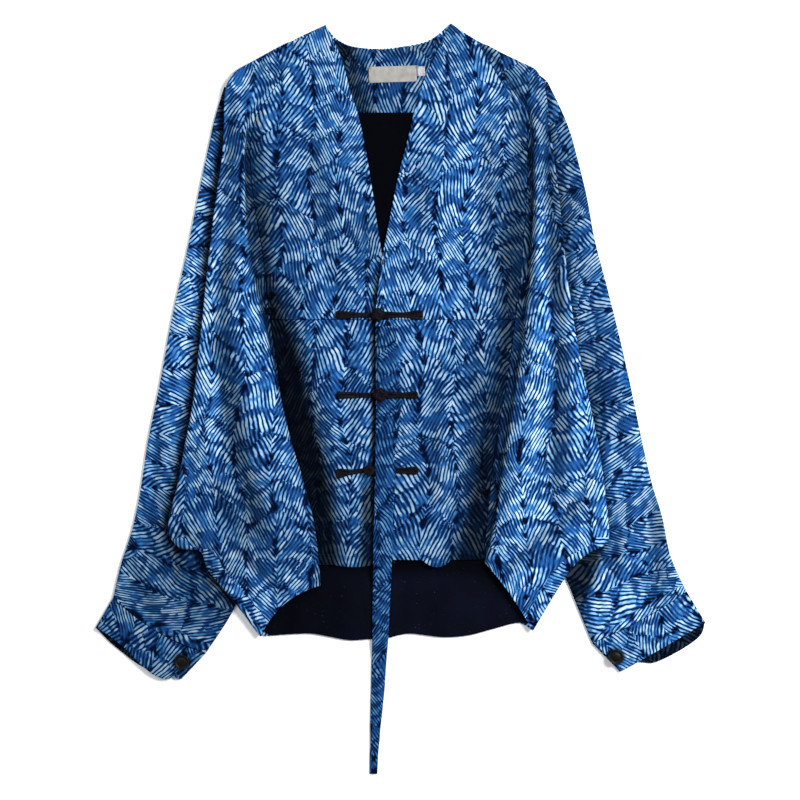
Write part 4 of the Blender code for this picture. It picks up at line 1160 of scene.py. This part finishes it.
def buildSleeve(side, finish):
    rowCount, columnCount = fineness["sleeve"]
    seed = 6 if side == "left" else 7
    cutX, cutY = cutPlace[f"sleeve_{side}"]
    fineRows = spread(sleeveTable[side], rowCount, 4)
    travelled = lengthsAlong([(flatPoint(*row[:2]) + flatPoint(*row[2:4])) / 2 for row in fineRows])
    rows, threads, paintedShades = [], [], []
    for number, row in enumerate(fineRows):
        ring = softSection(sleeveSection(row), columnCount, closed=True)
        width = dist(row[:2], row[2:4])
        toCuff = rowCount - 1 - number
        end = min(1, toCuff / 4 + 0.3)
        eased = sleeve["cuffGather"] * exp(-toCuff / 5) * (1 if toCuff > 0 else 0.4)
        paintedShadeRow = []
        for point in ring:
            clear = outsideWing(side, point.x, point.y)
            fromUnder = dist(point[:2], row[2:4])
            onTop = smoothStep((point.z - 2.6) / 1.6)
            uncovered = smoothStep((clear - 3) / 12)
            rim = smoothStep(min(fromUnder, width - fromUnder) / 12)
            crease = creaseHeight(sleeve["creases"][side], point.x, point.y)
            lift = crease + handRipple(point.x, point.y, seed) * 0.8
            lift += eased * max(0.0, sin(fromUnder * 0.47 + 1.3 * sin(fromUnder * 0.13)))
            if lift < 0:
                lift *= 0.8
            point.z += lift * onTop * uncovered * end * rim
            paintedShadeRow.append(sleeveShade(side, point, clear, fromUnder, crease))
        rows.append(ring)
        paintedShades.append(paintedShadeRow)
        # The sleeve is cut with the cloth turned, so the strokes run across it
        around = lengthsAlong(ring + [ring[0]])
        threads.append([(travelled[number] + cutX, cutY - length) for length in around])
    sheet = clothSheet(f"sleeve_{side}_cloth", rows, threads, cloth["wall"], finish, ring=True, paintedShades=paintedShades)
    settleSheet(sheet, f"sleeve_{side}")
    return fineRows


# The cuff bands, each lapped over its own end and buttoned
def cuffSection(over, under, end, bow):
    # From the tucked end round the underarm fold, along the floor, round the overarm fold and over the top
    width = (under - over).length
    stations = (
        (width - 17, cuffTuck), (width - 11, cuffTuck), (width - 5, cuffTuck), (width - 1, cuffTuck),
        (width, 2.0), (width - 1, floorZ), (width - 6, floorZ), (width * 0.65, floorZ),
        (width * 0.35, floorZ), (6, floorZ), (1, floorZ), (0, 2.2), (1, 4.2), (6, 5.0), (width * 0.3, 5.4),
        (width * 0.6, 5.4), (width * 0.78, cuffLap), (width - end - 5, cuffLap), (width - end, cuffLap),
    )
    return tubeSection(over, under, bow, stations)


def cuffShade(side, point, control):
    # Painted shade on a cuff: dark on the floor layer and where tucked under, and the button's painted shadow
    # on top
    depth = sleeve["shade"][side][-1][0]
    if 4.5 < control < 10.5:
        depth = 0.96
    elif control < 3.2:
        depth = 0.6
    return max(depth, 0.9 * smoothStep((13 - dist(point[:2], cuffButton[side])) / 5))


def buildCuff(side, finish):
    rowCount, columnCount = fineness["cuff"]
    overX, overY, underX, underY, bow = sleeveTable[side][-1]
    over = flatPoint(overX, overY)
    under = flatPoint(underX, underY)
    step = alongSleeve(over, under) * (2 * cloth["seam"])
    start = (over.x + step.x, over.y + step.y, under.x + step.x, under.y + step.y)
    lip = cuffLip[side]
    bandWidth = dist(((over + under) / 2)[:2], ((lip[0] + lip[2]) / 2, (lip[1] + lip[3]) / 2))
    edges = {layer: spread(line, 60, 2) for layer, line in cuffEdge[side].items()}
    # Beside which of a section's points each column lies
    controls = [20 * j / (columnCount - 1) - 1 for j in range(columnCount)]
    cutX, cutY = cutPlace[f"cuff_{side}"]
    rows, threads, paintedShades = [], [], []
    for number, row in enumerate(spread((start, lip), rowCount, 4)):
        share = number / (rowCount - 1)
        here = flatPoint(*row[:2])
        there = flatPoint(*row[2:4])
        across = there - here
        away = alongSleeve(here, there)
        section = softSection(cuffSection(here, there, cuffEnd[side], bow * (1 - share)), columnCount)
        soft = sin(pi * clamp(share * 1.1)) * 0.8 + 0.15
        # The band is turned in at its edge and stitched beside it
        groove = -0.4 * hump((1 - share) * bandWidth - 6, 1.6)
        paintedShadeRow = []
        for point, control in zip(section, controls):
            part = clamp((point - here).dot(across) / across.length_squared)
            layer = "tucked" if control < 4 else "floor" if control < 11.5 else "upper"
            point += away * readLine(edges[layer], part) * share
            onTop = smoothStep((control - 12.2) / 1.4) * smoothStep((17.2 - control) / 1.5)
            bulge = handRipple(point.x, point.y, 11) * 0.7 + 0.5 * soft
            point.z += max(bulge * soft + groove, -0.15) * onTop
            paintedShadeRow.append(cuffShade(side, point, control))
        rows.append(section)
        paintedShades.append(paintedShadeRow)
        threads.append([(length * 0.97 + cutX, share * bandWidth + cutY)
                        for length in lengthsAlong(section)])
    sheet = clothSheet(f"cuff_{side}_cloth", rows, threads, cloth["wall"], finish, paintedShades=paintedShades)
    settleSheet(sheet, f"cuff_{side}")


print("stage 4: sleeves and cuffs")
sleeveRows = {side: buildSleeve(side, dyed) for side in sleeveTable}
for side in sleeveTable:
    buildCuff(side, dyed)


def evenPlaces(points, count):
    # Places at even steps along a line of (x, y) points
    line = [flatPoint(x, y) for x, y in points]
    travelled = lengthsAlong(line)
    return [placeAfter(line, travelled, travelled[-1] * (i / (count - 1))) for i in range(count)]


def patchRows(top, right, bottom, left, size, height):
    # Rows of points that fill four border lines; top and bottom run from left to right, the sides downwards
    rowCount, columnCount = size
    tops, bottoms = evenPlaces(top, columnCount), evenPlaces(bottom, columnCount)
    lefts, rights = evenPlaces(left, rowCount), evenPlaces(right, rowCount)
    rows = []
    for i in range(rowCount):
        v = i / (rowCount - 1)
        row = []
        for j in range(columnCount):
            u = j / (columnCount - 1)
            flat = (tops[j] * (1 - v) + bottoms[j] * v + lefts[i] * (1 - u) + rights[i] * u
                    - tops[0] * (1 - u) * (1 - v) - tops[-1] * u * (1 - v)
                    - bottoms[0] * (1 - u) * v - bottoms[-1] * u * v)
            row.append(place3(flat, height(flat.x, flat.y)))
        rows.append(row)
    return rows


# The back, its lining and its neck facing
back = {
    "liningFolds": ((30, -200, 44, -262, 10, 1.5), (74, -196, 88, -250, 8, 1.2),
                    (-96, -196, -84, -258, 9, 1.3), (-60, -204, -66, -262, 7, 0.9),
                    (112, -190, 118, -246, 7, 1.0)),
    "tieClear": 9.0,  # the lining lies flat beside the tie
    "facingEnds": {"left": -172, "right": 142},  # of the facing's lower edge
    "liningCorners": {"left": [(-172, -228), (-150, -257)], "right": [(173, -196), (140, -247)]},
}


def armhole(side, step):
    # The edge of the back or its lining beside the sleeve, from the shoulder down
    inward = step if side == "left" else -step
    return [(row[2] + inward, row[3]) for row in sleeveRows[side][::6] if row[3] > armholeEnd[side]]


def buildBackPanel(finish):
    top = list(leftShoulder) + spread(backNeck, 24, 2)[1:] + list(rightShoulder)[1:]
    right = [rightShoulder[-1], rightCorner] + armhole("right", armholeGap) + list(rightSide)
    left = [leftShoulder[0]] + armhole("left", armholeGap) + list(leftSide)[::-1]
    hem = [leftSide[0]] + spread(backHem, 36, 2)[::-1] + [rightSide[-1]]
    rows = patchRows(top, right, hem, left, fineness["back"], lambda x, y: floorZ)
    # Painted shade darkens the back inside the neck, where the lining meets the facing
    paintedShades = overRows(rows, lambda x, y: 0.96 if abs(y - facingY) < 24 else 0)
    sheet = clothSheet("back_panel_cloth", rows, cutFlat(rows, "back_panel"), cloth["wall"], finish,
                       paintedShades=paintedShades)
    settleSheet(sheet, "back_panel")


def liningHeight(x, y):
    # The lining lies flat, with soft folds where it is free below the fronts' hem
    beside = smoothStep((max(x + 6, -36 - x) - back["tieClear"]) / 12)
    free = smoothStep((-194 - y) / 10) * smoothStep((y + 264) / 10)
    lift = creaseHeight(back["liningFolds"], x, y) + 0.7 * abs(ripple(x, y, 26, 1.0, 14))
    return liningZ + lift * free * beside * smoothStep((104 - x) / 30) * smoothStep((x + 132) / 26)


def liningShade(x, y):
    # Painted shade: darkest inside the neck, then below the fronts' hem, darker towards the left, and in soft
    # upright bands like folds
    leftAndBandShade = 0.4 * smoothStep((20 - x) / 150) + 0.22 * (0.5 + 0.5 * sin(x / 6.5 + 1.5 * sin(x / 23)))
    return max(0.8 * smoothStep((y + 150) / 20), 0.75 * smoothStep((y + 206) / 24), leftAndBandShade)


def liningSide(side):
    # From the facing down beside the armhole to the corner of the hem
    beside = [place for place in armhole(side, liningInset) if place[1] < facingY - 12]
    return [(back["facingEnds"][side], facingY - facingGap)] + beside + back["liningCorners"][side]


def buildLining(finish):
    left, right = liningSide("left"), liningSide("right")
    hem = [(x, y + 0.3) for x, y in spread(backHem, 36, 2)[::-1]][1:-1]
    rows = patchRows([left[0], right[0]], right, [left[-1]] + hem + [right[-1]], left, fineness["lining"],
                     liningHeight)
    sheet = clothSheet("back_lining_cloth", rows, cutFlat(rows, "back_lining"), cloth["lining"], finish,
                       paintedShades=overRows(rows, liningShade))
    settleSheet(sheet, "back_lining")


def facingShade(x, y):
    # Painted shade: the facing lies below the fronts, and is shaded deepest beside the left one
    away = x - readLine(edgeLine["left"], y)
    return min(0.55 + 0.36 * smoothStep((34 - away) / 28) + 0.12 * smoothStep((y - 372) / 16), 0.97)


def buildFacing(finish):
    # Its top edge runs just below the back neck's
    neck = [(x, y - 1.2) for x, y in spread(backNeck, 24, 2)][3:-3]
    top = [(-150, 365), (-106, 392)] + neck + [(72, 392), (120, 368)]
    left = [(-150, 365), (-174, 337), (back["facingEnds"]["left"], facingY)]
    right = [(120, 368), (140, 335), (back["facingEnds"]["right"], facingY)]
    rows = patchRows(top, right, [left[-1], right[-1]], left, fineness["facing"], lambda x, y: liningZ)
    sheet = clothSheet("back_neck_facing_cloth", rows, cutFlat(rows, "back_neck_facing"), cloth["lining"],
                       finish, paintedShades=overRows(rows, facingShade))
    settleSheet(sheet, "back_neck_facing")


# The black twill lining
def liningCloth():
    # Fine cotton twill: matt, almost black, with diagonal lines about 0.7 mm apart drawn 1.4 mm apart to show
    material, tree, shader = newMaterial("black cotton twill lining")
    place = threadPlace(tree, pi / 4)
    twill = addNode(tree, "TexWave", {"Vector": place, "Scale": 1 / (2 * pi * 0.36), "Distortion": 0.6,
                                      "Detail": 1.0})
    patches = addNode(tree, "TexNoise", {"Vector": place, "Scale": 1 / 60, "Detail": 3.0})
    lint = addNode(tree, "TexNoise", {"Vector": place, "Scale": 0.55, "Detail": 1.0})
    fleck = addNode(tree, "MapRange", {"Value": lint, "From Min": 0.74, "From Max": 0.8})
    shade = addNode(tree, "ValToRGB", {"Fac": patches})
    setRamp(shade, ((0.3, "#07080f"), (0.7, "#0c1124")))
    lined = addNode(tree, "Mix", {0: twill.outputs["Fac"], 6: colour("#040509"), 7: shade}, data_type="RGBA")
    flecked = addNode(tree, "Mix", {0: fleck, 6: lined.outputs[2], 7: colour("#3a4258")}, data_type="RGBA")
    # Painted shade by the fold attribute, towards near black
    paintedDeepShade = addNode(tree, "Mix", {0: paintedShadeDepth(tree), 6: flecked.outputs[2], 7: colour("#010102")},
                   data_type="RGBA")
    bump = addNode(tree, "Bump", {"Height": twill.outputs["Fac"], "Strength": 0.3, "Distance": 0.3 * mm})
    plug(tree, shader, {"Base Color": paintedDeepShade.outputs[2], "Normal": bump, "Roughness": 0.85,
                        "Specular IOR Level": 0.02})
    return material


print("stage 5: the back, lining and facing")
buildBackPanel(dyed)
buildLining(liningCloth())
buildFacing(dyed)


# The tie hangs from under the top frog, down the right front, over the lining and onto the floor
tie = {
    "flutter": 0.5, "stitchInset": 1.7, "shade": 0.47,
    # The tie is cut from a stretch with finer strokes that took more dye
    "dyeing": {"strokePitch": 3.3, "palest": (0.42, 0.7), "between": 0.3, "shortest": 12.0, "longest": 22.0},
}


def tieHeight(x, y):
    # The tie lies on the right front and below its frog, then steps down to the lining and to the floor
    onFront = surfaceHeight("right", x, max(y, frontHemY + 5)) + cloth["clear"] + 0.2 + cloth["wall"] / 2
    onFront += (frogUnderTie + cloth["clear"]) * smoothStep(1.6 - abs(y - frogTable[2]["y"]) / 14)
    onLining = liningZ + cloth["lining"] / 2 + cloth["clear"] + cloth["wall"] / 2
    height = onFront + (onLining - onFront) * smoothStep((frontHemY - y) / 28)
    return height + (floorZ - onLining) * smoothStep((backHemY - 1 - y) / 22)


def buildTie(finish):
    rowCount, columnCount = fineness["tie"]
    inset = tie["stitchInset"]
    cutX, cutY = cutPlace["tie"]
    rows = []
    for y, leftX, rightX in spread(tieTable, rowCount, 1):
        width = rightX - leftX
        wave = tie["flutter"] * noise.noise(Vector((y / 22, 1.7, 0)))
        base = max(tieHeight(x, y) for x in (leftX, rightX, (leftX + rightX) / 2))
        row = []
        for j in range(columnCount):
            share = j / (columnCount - 1)
            x = leftX + width * share + wave
            crown = 0.45 * sin(pi * share) + 0.35 * max(0, noise.noise(Vector((x / 9, y / 17, 4.2))))
            groove = -0.25 * (hump(share * width - inset, 0.8) + hump((1 - share) * width - inset, 0.8))
            row.append(Vector((x, y, base + max(crown + groove, 0))))
        rows.append(row)
    travelled = lengthsAlong([row[columnCount // 2] for row in rows])
    threads = [[(point.x + cutX, cutY - gone) for point in row] for row, gone in zip(rows, travelled)]
    # Painted shade over the whole tie, a little deeper towards its sewn end
    paintedShades = overRows(rows, lambda x, y: tie["shade"] + 0.05 * smoothStep((y + 60) / 60))
    sheet = clothSheet("tie_cloth", rows, threads, cloth["wall"], finish, paintedShades=paintedShades)
    settleSheet(sheet, "tie")


print("stage 6: the tie")
buildTie(dyedCotton("resist-dyed cotton, darker stretch", tie["dyeing"]))


# Frogs: two rolled cloth cords side by side, a loop on the left front and a ball knot on the right one
frog = {"cord": 1.55, "knotLeads": 3, "knotBights": 4, "knotCord": 1.9}


def blackCord():
    # Rolled strips of matt black cotton: soft, with a fine slanting weave, paler on the raised ridges
    material, tree, shader = newMaterial("rolled black cotton cord")
    place = addNode(tree, "TexCoord").outputs["Object"]
    weave = addNode(tree, "TexNoise", {"Vector": place, "Scale": 1 / (1.1 * mm), "Detail": 2.0})
    patches = addNode(tree, "TexNoise", {"Vector": place, "Scale": 1 / (7 * mm), "Detail": 2.0})
    height = addNode(tree, "Math", {0: patches, 1: 0.6, 2: weave}, operation="MULTIPLY_ADD")
    shade = addNode(tree, "ValToRGB", {"Fac": patches})
    setRamp(shade, ((0.3, "#09070b"), (0.62, "#110f15"), (0.85, "#1c1920")))
    bump = addNode(tree, "Bump", {"Height": height, "Strength": 0.55, "Distance": 0.5 * mm})
    plug(tree, shader, {"Base Color": shade, "Normal": bump, "Roughness": 0.85, "Specular IOR Level": 0.06})
    return material


def joinPieces(name, pieces, finish):
    bpy.ops.object.select_all(action="DESELECT")
    for piece in pieces:
        piece.select_set(True)
    bpy.context.view_layer.objects.active = pieces[0]
    bpy.ops.object.join()
    joined = bpy.context.object
    joined.name = name
    bpy.ops.object.transform_apply(location=True, rotation=True, scale=True)
    dress(joined, finish)
    bpy.ops.object.shade_smooth()
    return joined


def cordPair(inner, outer, y, tilt, widths, base, radiusAt):
    # One cord that runs out along one side, turns at the outer end and comes back along the other
    def station(part, sideways):
        x = outer + (inner - outer) * part
        radius = radiusAt(x)
        apart = sideways * (readLine(widths, part) / 2 - radius)
        return (x, y + tilt * (1 - part) + apart, base(x) + radius, radius)

    parts = (1, 0.86, 0.72, 0.58, 0.44, 0.3, 0.18, 0.08)
    outwards = [station(part, -1) for part in parts]
    inwards = [station(part, 1) for part in parts[::-1]]
    radius = radiusAt(outer)
    height = base(outer) + radius
    shoulder = widths[-1][0] / 2 - radius
    toMiddle = radius if inner > outer else -radius
    bend = [(outer + toMiddle * 1.1, y + tilt - shoulder, height, radius),
            (outer + toMiddle * 0.9, y + tilt, height, radius),
            (outer + toMiddle * 1.1, y + tilt + shoulder, height, radius)]
    pair = makeCords([spread(outwards + bend + inwards, 90, 3)])
    # The cut ends are tucked in between them and fill the space where they part
    tucked = []
    for way in (-1, 1):
        line = []
        for part in (0.08, 0.15, 0.24, 0.34, 0.46, 0.6, 0.72, 0.84, 1):
            x, middle, height, radius = station(part, 0)
            space = max(readLine(widths, part) / 2 - 2 * radius, 0)
            thick = clamp(space / 2 + 0.3, 0.5, radius)
            line.append((x, middle + way * space / 2, height - radius + thick, thick))
        tucked.append(spread(line, 30, 3))
    return [pair, makeCords(tucked)]


def ballKnot(x, y, base, width, height):
    # A cord plaited round on itself into a ball, flattened to the knot's height
    leads, bights = frog["knotLeads"], frog["knotBights"]
    reach = width / 2 - frog["knotCord"] * 0.8
    rise = height / 2 - frog["knotCord"] * 0.8
    steps = 180
    points = []
    for i in range(steps):
        t = 2 * pi * i / steps
        latitude = 0.98 * sin(bights * t)
        longitude = leads * t
        swell = 1 + 0.1 * cos(bights * leads * t)
        points.append((x + reach * swell * cos(latitude) * cos(longitude),
                       y + reach * swell * cos(latitude) * sin(longitude),
                       base + height / 2 + rise * swell * sin(latitude), frog["knotCord"]))
    cord = makeCords([points], closed=True)
    bpy.ops.mesh.primitive_uv_sphere_add(segments=24, ring_count=14, radius=reach * mm,
                                         location=(x * mm, y * mm, (base + height / 2) * mm))
    core = bpy.context.object
    core.scale = (1, 1, max(rise / reach, 0.3))
    return [cord, core]


def highestUnder(side, x, y):
    # What a frog's cord rests on: the highest place of a front just around it
    near = [surfaceHeight(side, x + step, y + up) for step in (0, 3) for up in (-3, 0, 3)]
    return max(near) + cloth["clear"] * 0.5


onLap = frontZ + lapRise + cloth["wall"] / 2 + cloth["clear"]  # just above the right front's edge


def buildLoop(number, look, finish):
    # The loop side lies on the left front, and reaches over the right front's edge to the knot
    y, tilt = look["y"], look["tilt"]
    outer, width = look["loop"]
    knotX, knotWidth = look["knot"][:2]
    widths = ((frogWaist, 1), (frogWaist * 0.94, 0.86), (frogWaist, 0.6), (frogWaist + 1.6, 0.4),
              (width * 0.93, 0.2), (width, 0.04), (width * 0.9, 0))

    def base(x):
        part = (x - outer) / (knotX - outer)
        here = y + tilt * (1 - part)
        if x > readLine(edgeLine["right"], here) - 3:
            return onLap
        return highestUnder("left", x, here)

    inner = knotX - knotWidth / 2 - cloth["clear"]
    cords = cordPair(inner, outer, y, tilt, widths, base, lambda x: frog["cord"])
    settle(joinPieces(f"frog_{number}_loop_cords", cords, finish), f"frog_{number}_loop")


def buildKnot(number, look, finish):
    # The knot side lies on the right front. The tie runs below the second knot and over the third's cords
    y = look["y"]
    outer, width = look["end"]
    knotX, knotWidth, knotHeight = look["knot"]
    widths = ((frogWaist + 2, 1), (frogWaist + 1.9, 0.8), (frogWaist + 0.2, 0.66), (frogWaist + 0.3, 0.42),
              (width * 0.93, 0.18), (width, 0.04), (width * 0.9, 0))
    onTie = max(tieHeight(x, y) for x in (-22, -12, -4)) + 0.5 + cloth["wall"] / 2 + cloth["clear"]
    low = onTie if number == 2 else onLap
    thinnest = frogUnderTie / 2 - 0.05 if number == 3 else frog["cord"]

    def base(x):
        overTie = 1 - smoothStep((x - 2) / 9)
        surface = highestUnder("right", x, y)
        return max(surface, low * overTie + surface * (1 - overTie))

    def radiusAt(x):
        return frog["cord"] + (thinnest - frog["cord"]) * smoothStep((3 - x) / 3)

    cords = cordPair(knotX + knotWidth * 0.3, outer, y, 0, widths, base, radiusAt)
    cords += ballKnot(knotX, y, low, knotWidth, knotHeight)
    settle(joinPieces(f"frog_{number}_knot_cords", cords, finish), f"frog_{number}_knot")


print("stage 7: frogs")
cordFinish = blackCord()
for number, look in enumerate(frogTable, start=1):
    buildLoop(number, look, cordFinish)
    buildKnot(number, look, cordFinish)


# Cuff buttons: domed, with a raised rim and a sunk middle where the thread holds it
button = {"diameter": 16.0, "height": 4.5, "rim": 1.5, "dish": 0.9, "dome": 0.8}


def buttonFinish():
    # Black polyester resin, moulded: a satin gloss with faint turned rings
    material, tree, shader = newMaterial("moulded black resin")
    place = addNode(tree, "TexCoord").outputs["Object"]
    mottle = addNode(tree, "TexNoise", {"Vector": place, "Scale": 1 / (2.6 * mm), "Detail": 3.0})
    shade = addNode(tree, "ValToRGB", {"Fac": mottle})
    setRamp(shade, ((0.35, "#020102"), (0.6, "#060506"), (0.8, "#0c0a0c")))
    rough = addNode(tree, "MapRange", {"Value": mottle, "To Min": 0.34, "To Max": 0.52})
    bump = addNode(tree, "Bump", {"Height": mottle, "Strength": 0.12, "Distance": 0.2 * mm})
    plug(tree, shader, {"Base Color": shade, "Normal": bump, "Roughness": rough, "Specular IOR Level": 0.14})
    return material


def selectFaces(mesh, chosen):
    for part in (*mesh.polygons, *mesh.edges, *mesh.vertices):
        part.select = False
    for polygon in mesh.polygons:
        polygon.select = chosen(polygon)


def buildButton(side, finish):
    x, y = cuffButton[side]
    base = cuffLap + cloth["wall"] / 2 + cloth["clear"]
    bpy.ops.mesh.primitive_cylinder_add(vertices=48, radius=button["diameter"] / 2 * mm,
                                        depth=button["height"] * mm,
                                        location=(x * mm, y * mm, (base + button["height"] / 2) * mm))
    body = bpy.context.object
    body.name = f"cuff_button_{side}_turned"
    bpy.ops.object.transform_apply(location=True, rotation=False, scale=False)
    selectFaces(body.data, lambda polygon: polygon.normal.z > 0.9)
    bpy.ops.object.mode_set(mode="EDIT")
    dome = button["dome"]
    insets = ((button["rim"], 0), (0.8, -button["dish"]), (1.6, dome * 0.6), (1.5, dome * 0.4))
    for thickness, depth in insets:
        bpy.ops.mesh.inset(thickness=thickness * mm, depth=depth * mm)
    bpy.ops.object.mode_set(mode="OBJECT")
    addBevel(body, "rounded rim", 0.55, 3, 0.6)
    applyModifiers(body)
    bpy.ops.object.shade_smooth_by_angle(angle=0.9)
    dress(body, finish)
    settle(body, f"cuff_button_{side}")


def holdButton(side, finish):
    # The thread that holds a button shows as four short bars in its middle
    x, y = cuffButton[side]
    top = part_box(f"cuff_button_{side}")[1].z / mm - 0.75
    bars = []
    for along, up in ((0, 1.1), (0, -1.1), (1.1, 0), (-1.1, 0)):
        runX, runY = (1.4, 0) if up else (0, 1.4)
        bars.append([(x + along + runX * part, y + up + runY * part, top + 0.35 * (1 - part ** 2), 0.28)
                     for part in (-1, -0.5, 0, 0.5, 1)])
    settle(joinPieces(f"cuff_button_{side}_thread", [makeCords(bars)], finish))


# The neck label and the size tab, both bare
label = {"corner": (-34.6, 348.0), "size": (52.8, 17.6), "tilt": 0.03, "turnedEnd": 3.2}
sizeTab = {"corner": (18.9, 355.5), "size": (8.2, 10.5), "tilt": 0.03, "turnedEnd": 1.4}
narrowestSheet = 12.0  # below this width a slip is settled with settle rather than settleSheet


def labelFinish(name, codes):
    # Woven satin tape: a fine rib across and a little sheen; its colours are painted a darker grey, as
    # painted shade where it lies inside the neck
    material, tree, shader = newMaterial(name)
    place = threadPlace(tree)
    rib = addNode(tree, "TexWave", {"Vector": place, "Scale": 1 / (2 * pi * 0.28), "Distortion": 0.4},
                  bands_direction="Y")
    soil = addNode(tree, "TexNoise", {"Vector": place, "Scale": 1 / 9, "Detail": 3.0})
    both = addNode(tree, "Math", {0: rib.outputs["Fac"], 1: 0.22, 2: soil}, operation="MULTIPLY_ADD")
    shade = addNode(tree, "ValToRGB", {"Fac": both})
    setRamp(shade, ((0.35, codes[0]), (0.8, codes[1])))
    bump = addNode(tree, "Bump", {"Height": rib.outputs["Fac"], "Strength": 0.35, "Distance": 0.15 * mm})
    plug(tree, shader, {"Base Color": shade, "Normal": bump, "Roughness": 0.62, "Sheen Weight": 0.1})
    return material


def buildSlip(node, look, finish):
    # A woven slip whose ends are turned under, so they lie a little higher, and whose middle lifts
    rowCount, columnCount = fineness["label"]
    width, height = look["size"]
    cornerX, cornerY = look["corner"]
    rows = []
    for i in range(rowCount):
        row = []
        for j in range(columnCount):
            along, up = width * j / (columnCount - 1), height * (1 - i / (rowCount - 1))
            x = cornerX + along * cos(look["tilt"]) - up * sin(look["tilt"])
            y = cornerY + along * sin(look["tilt"]) + up * cos(look["tilt"])
            turned = 0.5 * (1 - smoothStep((min(along, width - along) - look["turnedEnd"]) / 1.2))
            uneven = 0.6 + 0.4 * noise.noise(Vector((along / 9, up / 7, 2)))
            lift = 0.35 * sin(pi * along / width) * uneven
            row.append(Vector((x, y, labelZ + turned + max(lift, 0))))
        rows.append(row)
    slip = clothSheet(f"{node}_woven", rows, cutFlat(rows, node), cloth["trim"], finish)
    if width < narrowestSheet:
        settle(slip, node)
    else:
        settleSheet(slip, node)
    return slip


def tackSlip(node, look, finish):
    # A short bar of stitches in each corner
    width, height = look["size"]
    left, bottom = look["corner"]
    z = labelZ + 0.5 + cloth["trim"] / 2
    bars = []
    for x, y in ((left + 0.9, bottom + 1.4), (left + 0.7, bottom + height - 1.2),
                 (left + width - 1.0, bottom + 2.4), (left + width - 1.2, bottom + height - 0.4)):
        bars.append([(x, y - 0.9, z - 0.1, 0.2), (x, y - 0.4, z + 0.12, 0.2), (x, y + 0.4, z + 0.12, 0.2),
                     (x, y + 0.9, z - 0.1, 0.2)])
    settle(joinPieces(f"{node}_tacks", [makeCords(bars)], finish))


print("stage 8: buttons and label")
resin = buttonFinish()
for side in cuffButton:
    buildButton(side, resin)
    holdButton(side, cordFinish)
# Both tapes get greyer colours than the tape has: painted shade inside the neck
tape = labelFinish("woven satin tape, painted shade", ("#716f6c", "#92908a"))
tab = buildSlip("size_tab", sizeTab, labelFinish("white satin tape, painted shade", ("#868489", "#a7a5aa")))
tackSlip("size_tab", sizeTab, cordFinish)
buildSlip("neck_label", label, tape)
tackSlip("neck_label", label, cordFinish)


# Floor, light and camera
studio = {
    "floor": "#fbfbfb", "sky": "#f2f4f8", "skyStrength": 0.4,
    "camera": (-0.5, -1.4, 2608.0), "view": 880.0,  # where the camera hangs and the width it sees there
    "key": {"place": (1050, 500, 1350), "size": 800, "watts": 49},
    "fill": {"place": (-1100, 600, 1800), "size": 1500, "watts": 16},
}


def addLight(name, look):
    bpy.ops.object.light_add(type="AREA", location=[value * mm for value in look["place"]])
    lamp = bpy.context.object
    lamp.name = name
    lamp.data.shape = "DISK"
    lamp.data.size = look["size"] * mm
    lamp.data.energy = look["watts"]
    lamp.rotation_euler = (-lamp.location).to_track_quat("-Z", "Y").to_euler()


def paperFinish():
    # Matt white paper with a trace of its fibres
    material, tree, shader = newMaterial("matt white paper")
    place = addNode(tree, "TexCoord").outputs["Object"]
    fibre = addNode(tree, "TexNoise", {"Vector": place, "Scale": 900.0, "Detail": 2.0})
    bump = addNode(tree, "Bump", {"Height": fibre, "Strength": 0.02, "Distance": 0.1 * mm})
    plug(tree, shader, {"Base Color": colour(studio["floor"]), "Normal": bump, "Roughness": 0.9,
                        "Specular IOR Level": 0.1})
    return material


def buildStudio():
    bpy.ops.mesh.primitive_plane_add(size=12, location=(0, 0, -0.2 * mm))
    floor = bpy.context.object
    floor.name = "floor"
    dress(floor, paperFinish())
    world = bpy.data.worlds.new("soft white room")
    world.use_nodes = True
    bpy.context.scene.world = world
    room = world.node_tree
    plug(room, room.nodes["Background"], {"Color": colour(studio["sky"]), "Strength": studio["skyStrength"]})
    addLight("key light", studio["key"])
    addLight("fill light", studio["fill"])
    bpy.ops.object.camera_add(location=[value * mm for value in studio["camera"]], rotation=(0, 0, 0))
    camera = bpy.context.object
    camera.data.sensor_width = 36
    camera.data.lens = 36 * (studio["camera"][2] - 8) / studio["view"]
    camera.data.clip_end = 20
    camera.data.dof.use_dof = False
    bpy.context.scene.camera = camera
    bpy.context.scene.view_settings.view_transform = "Standard"


print("stage 9: floor, light and camera")
buildStudio()
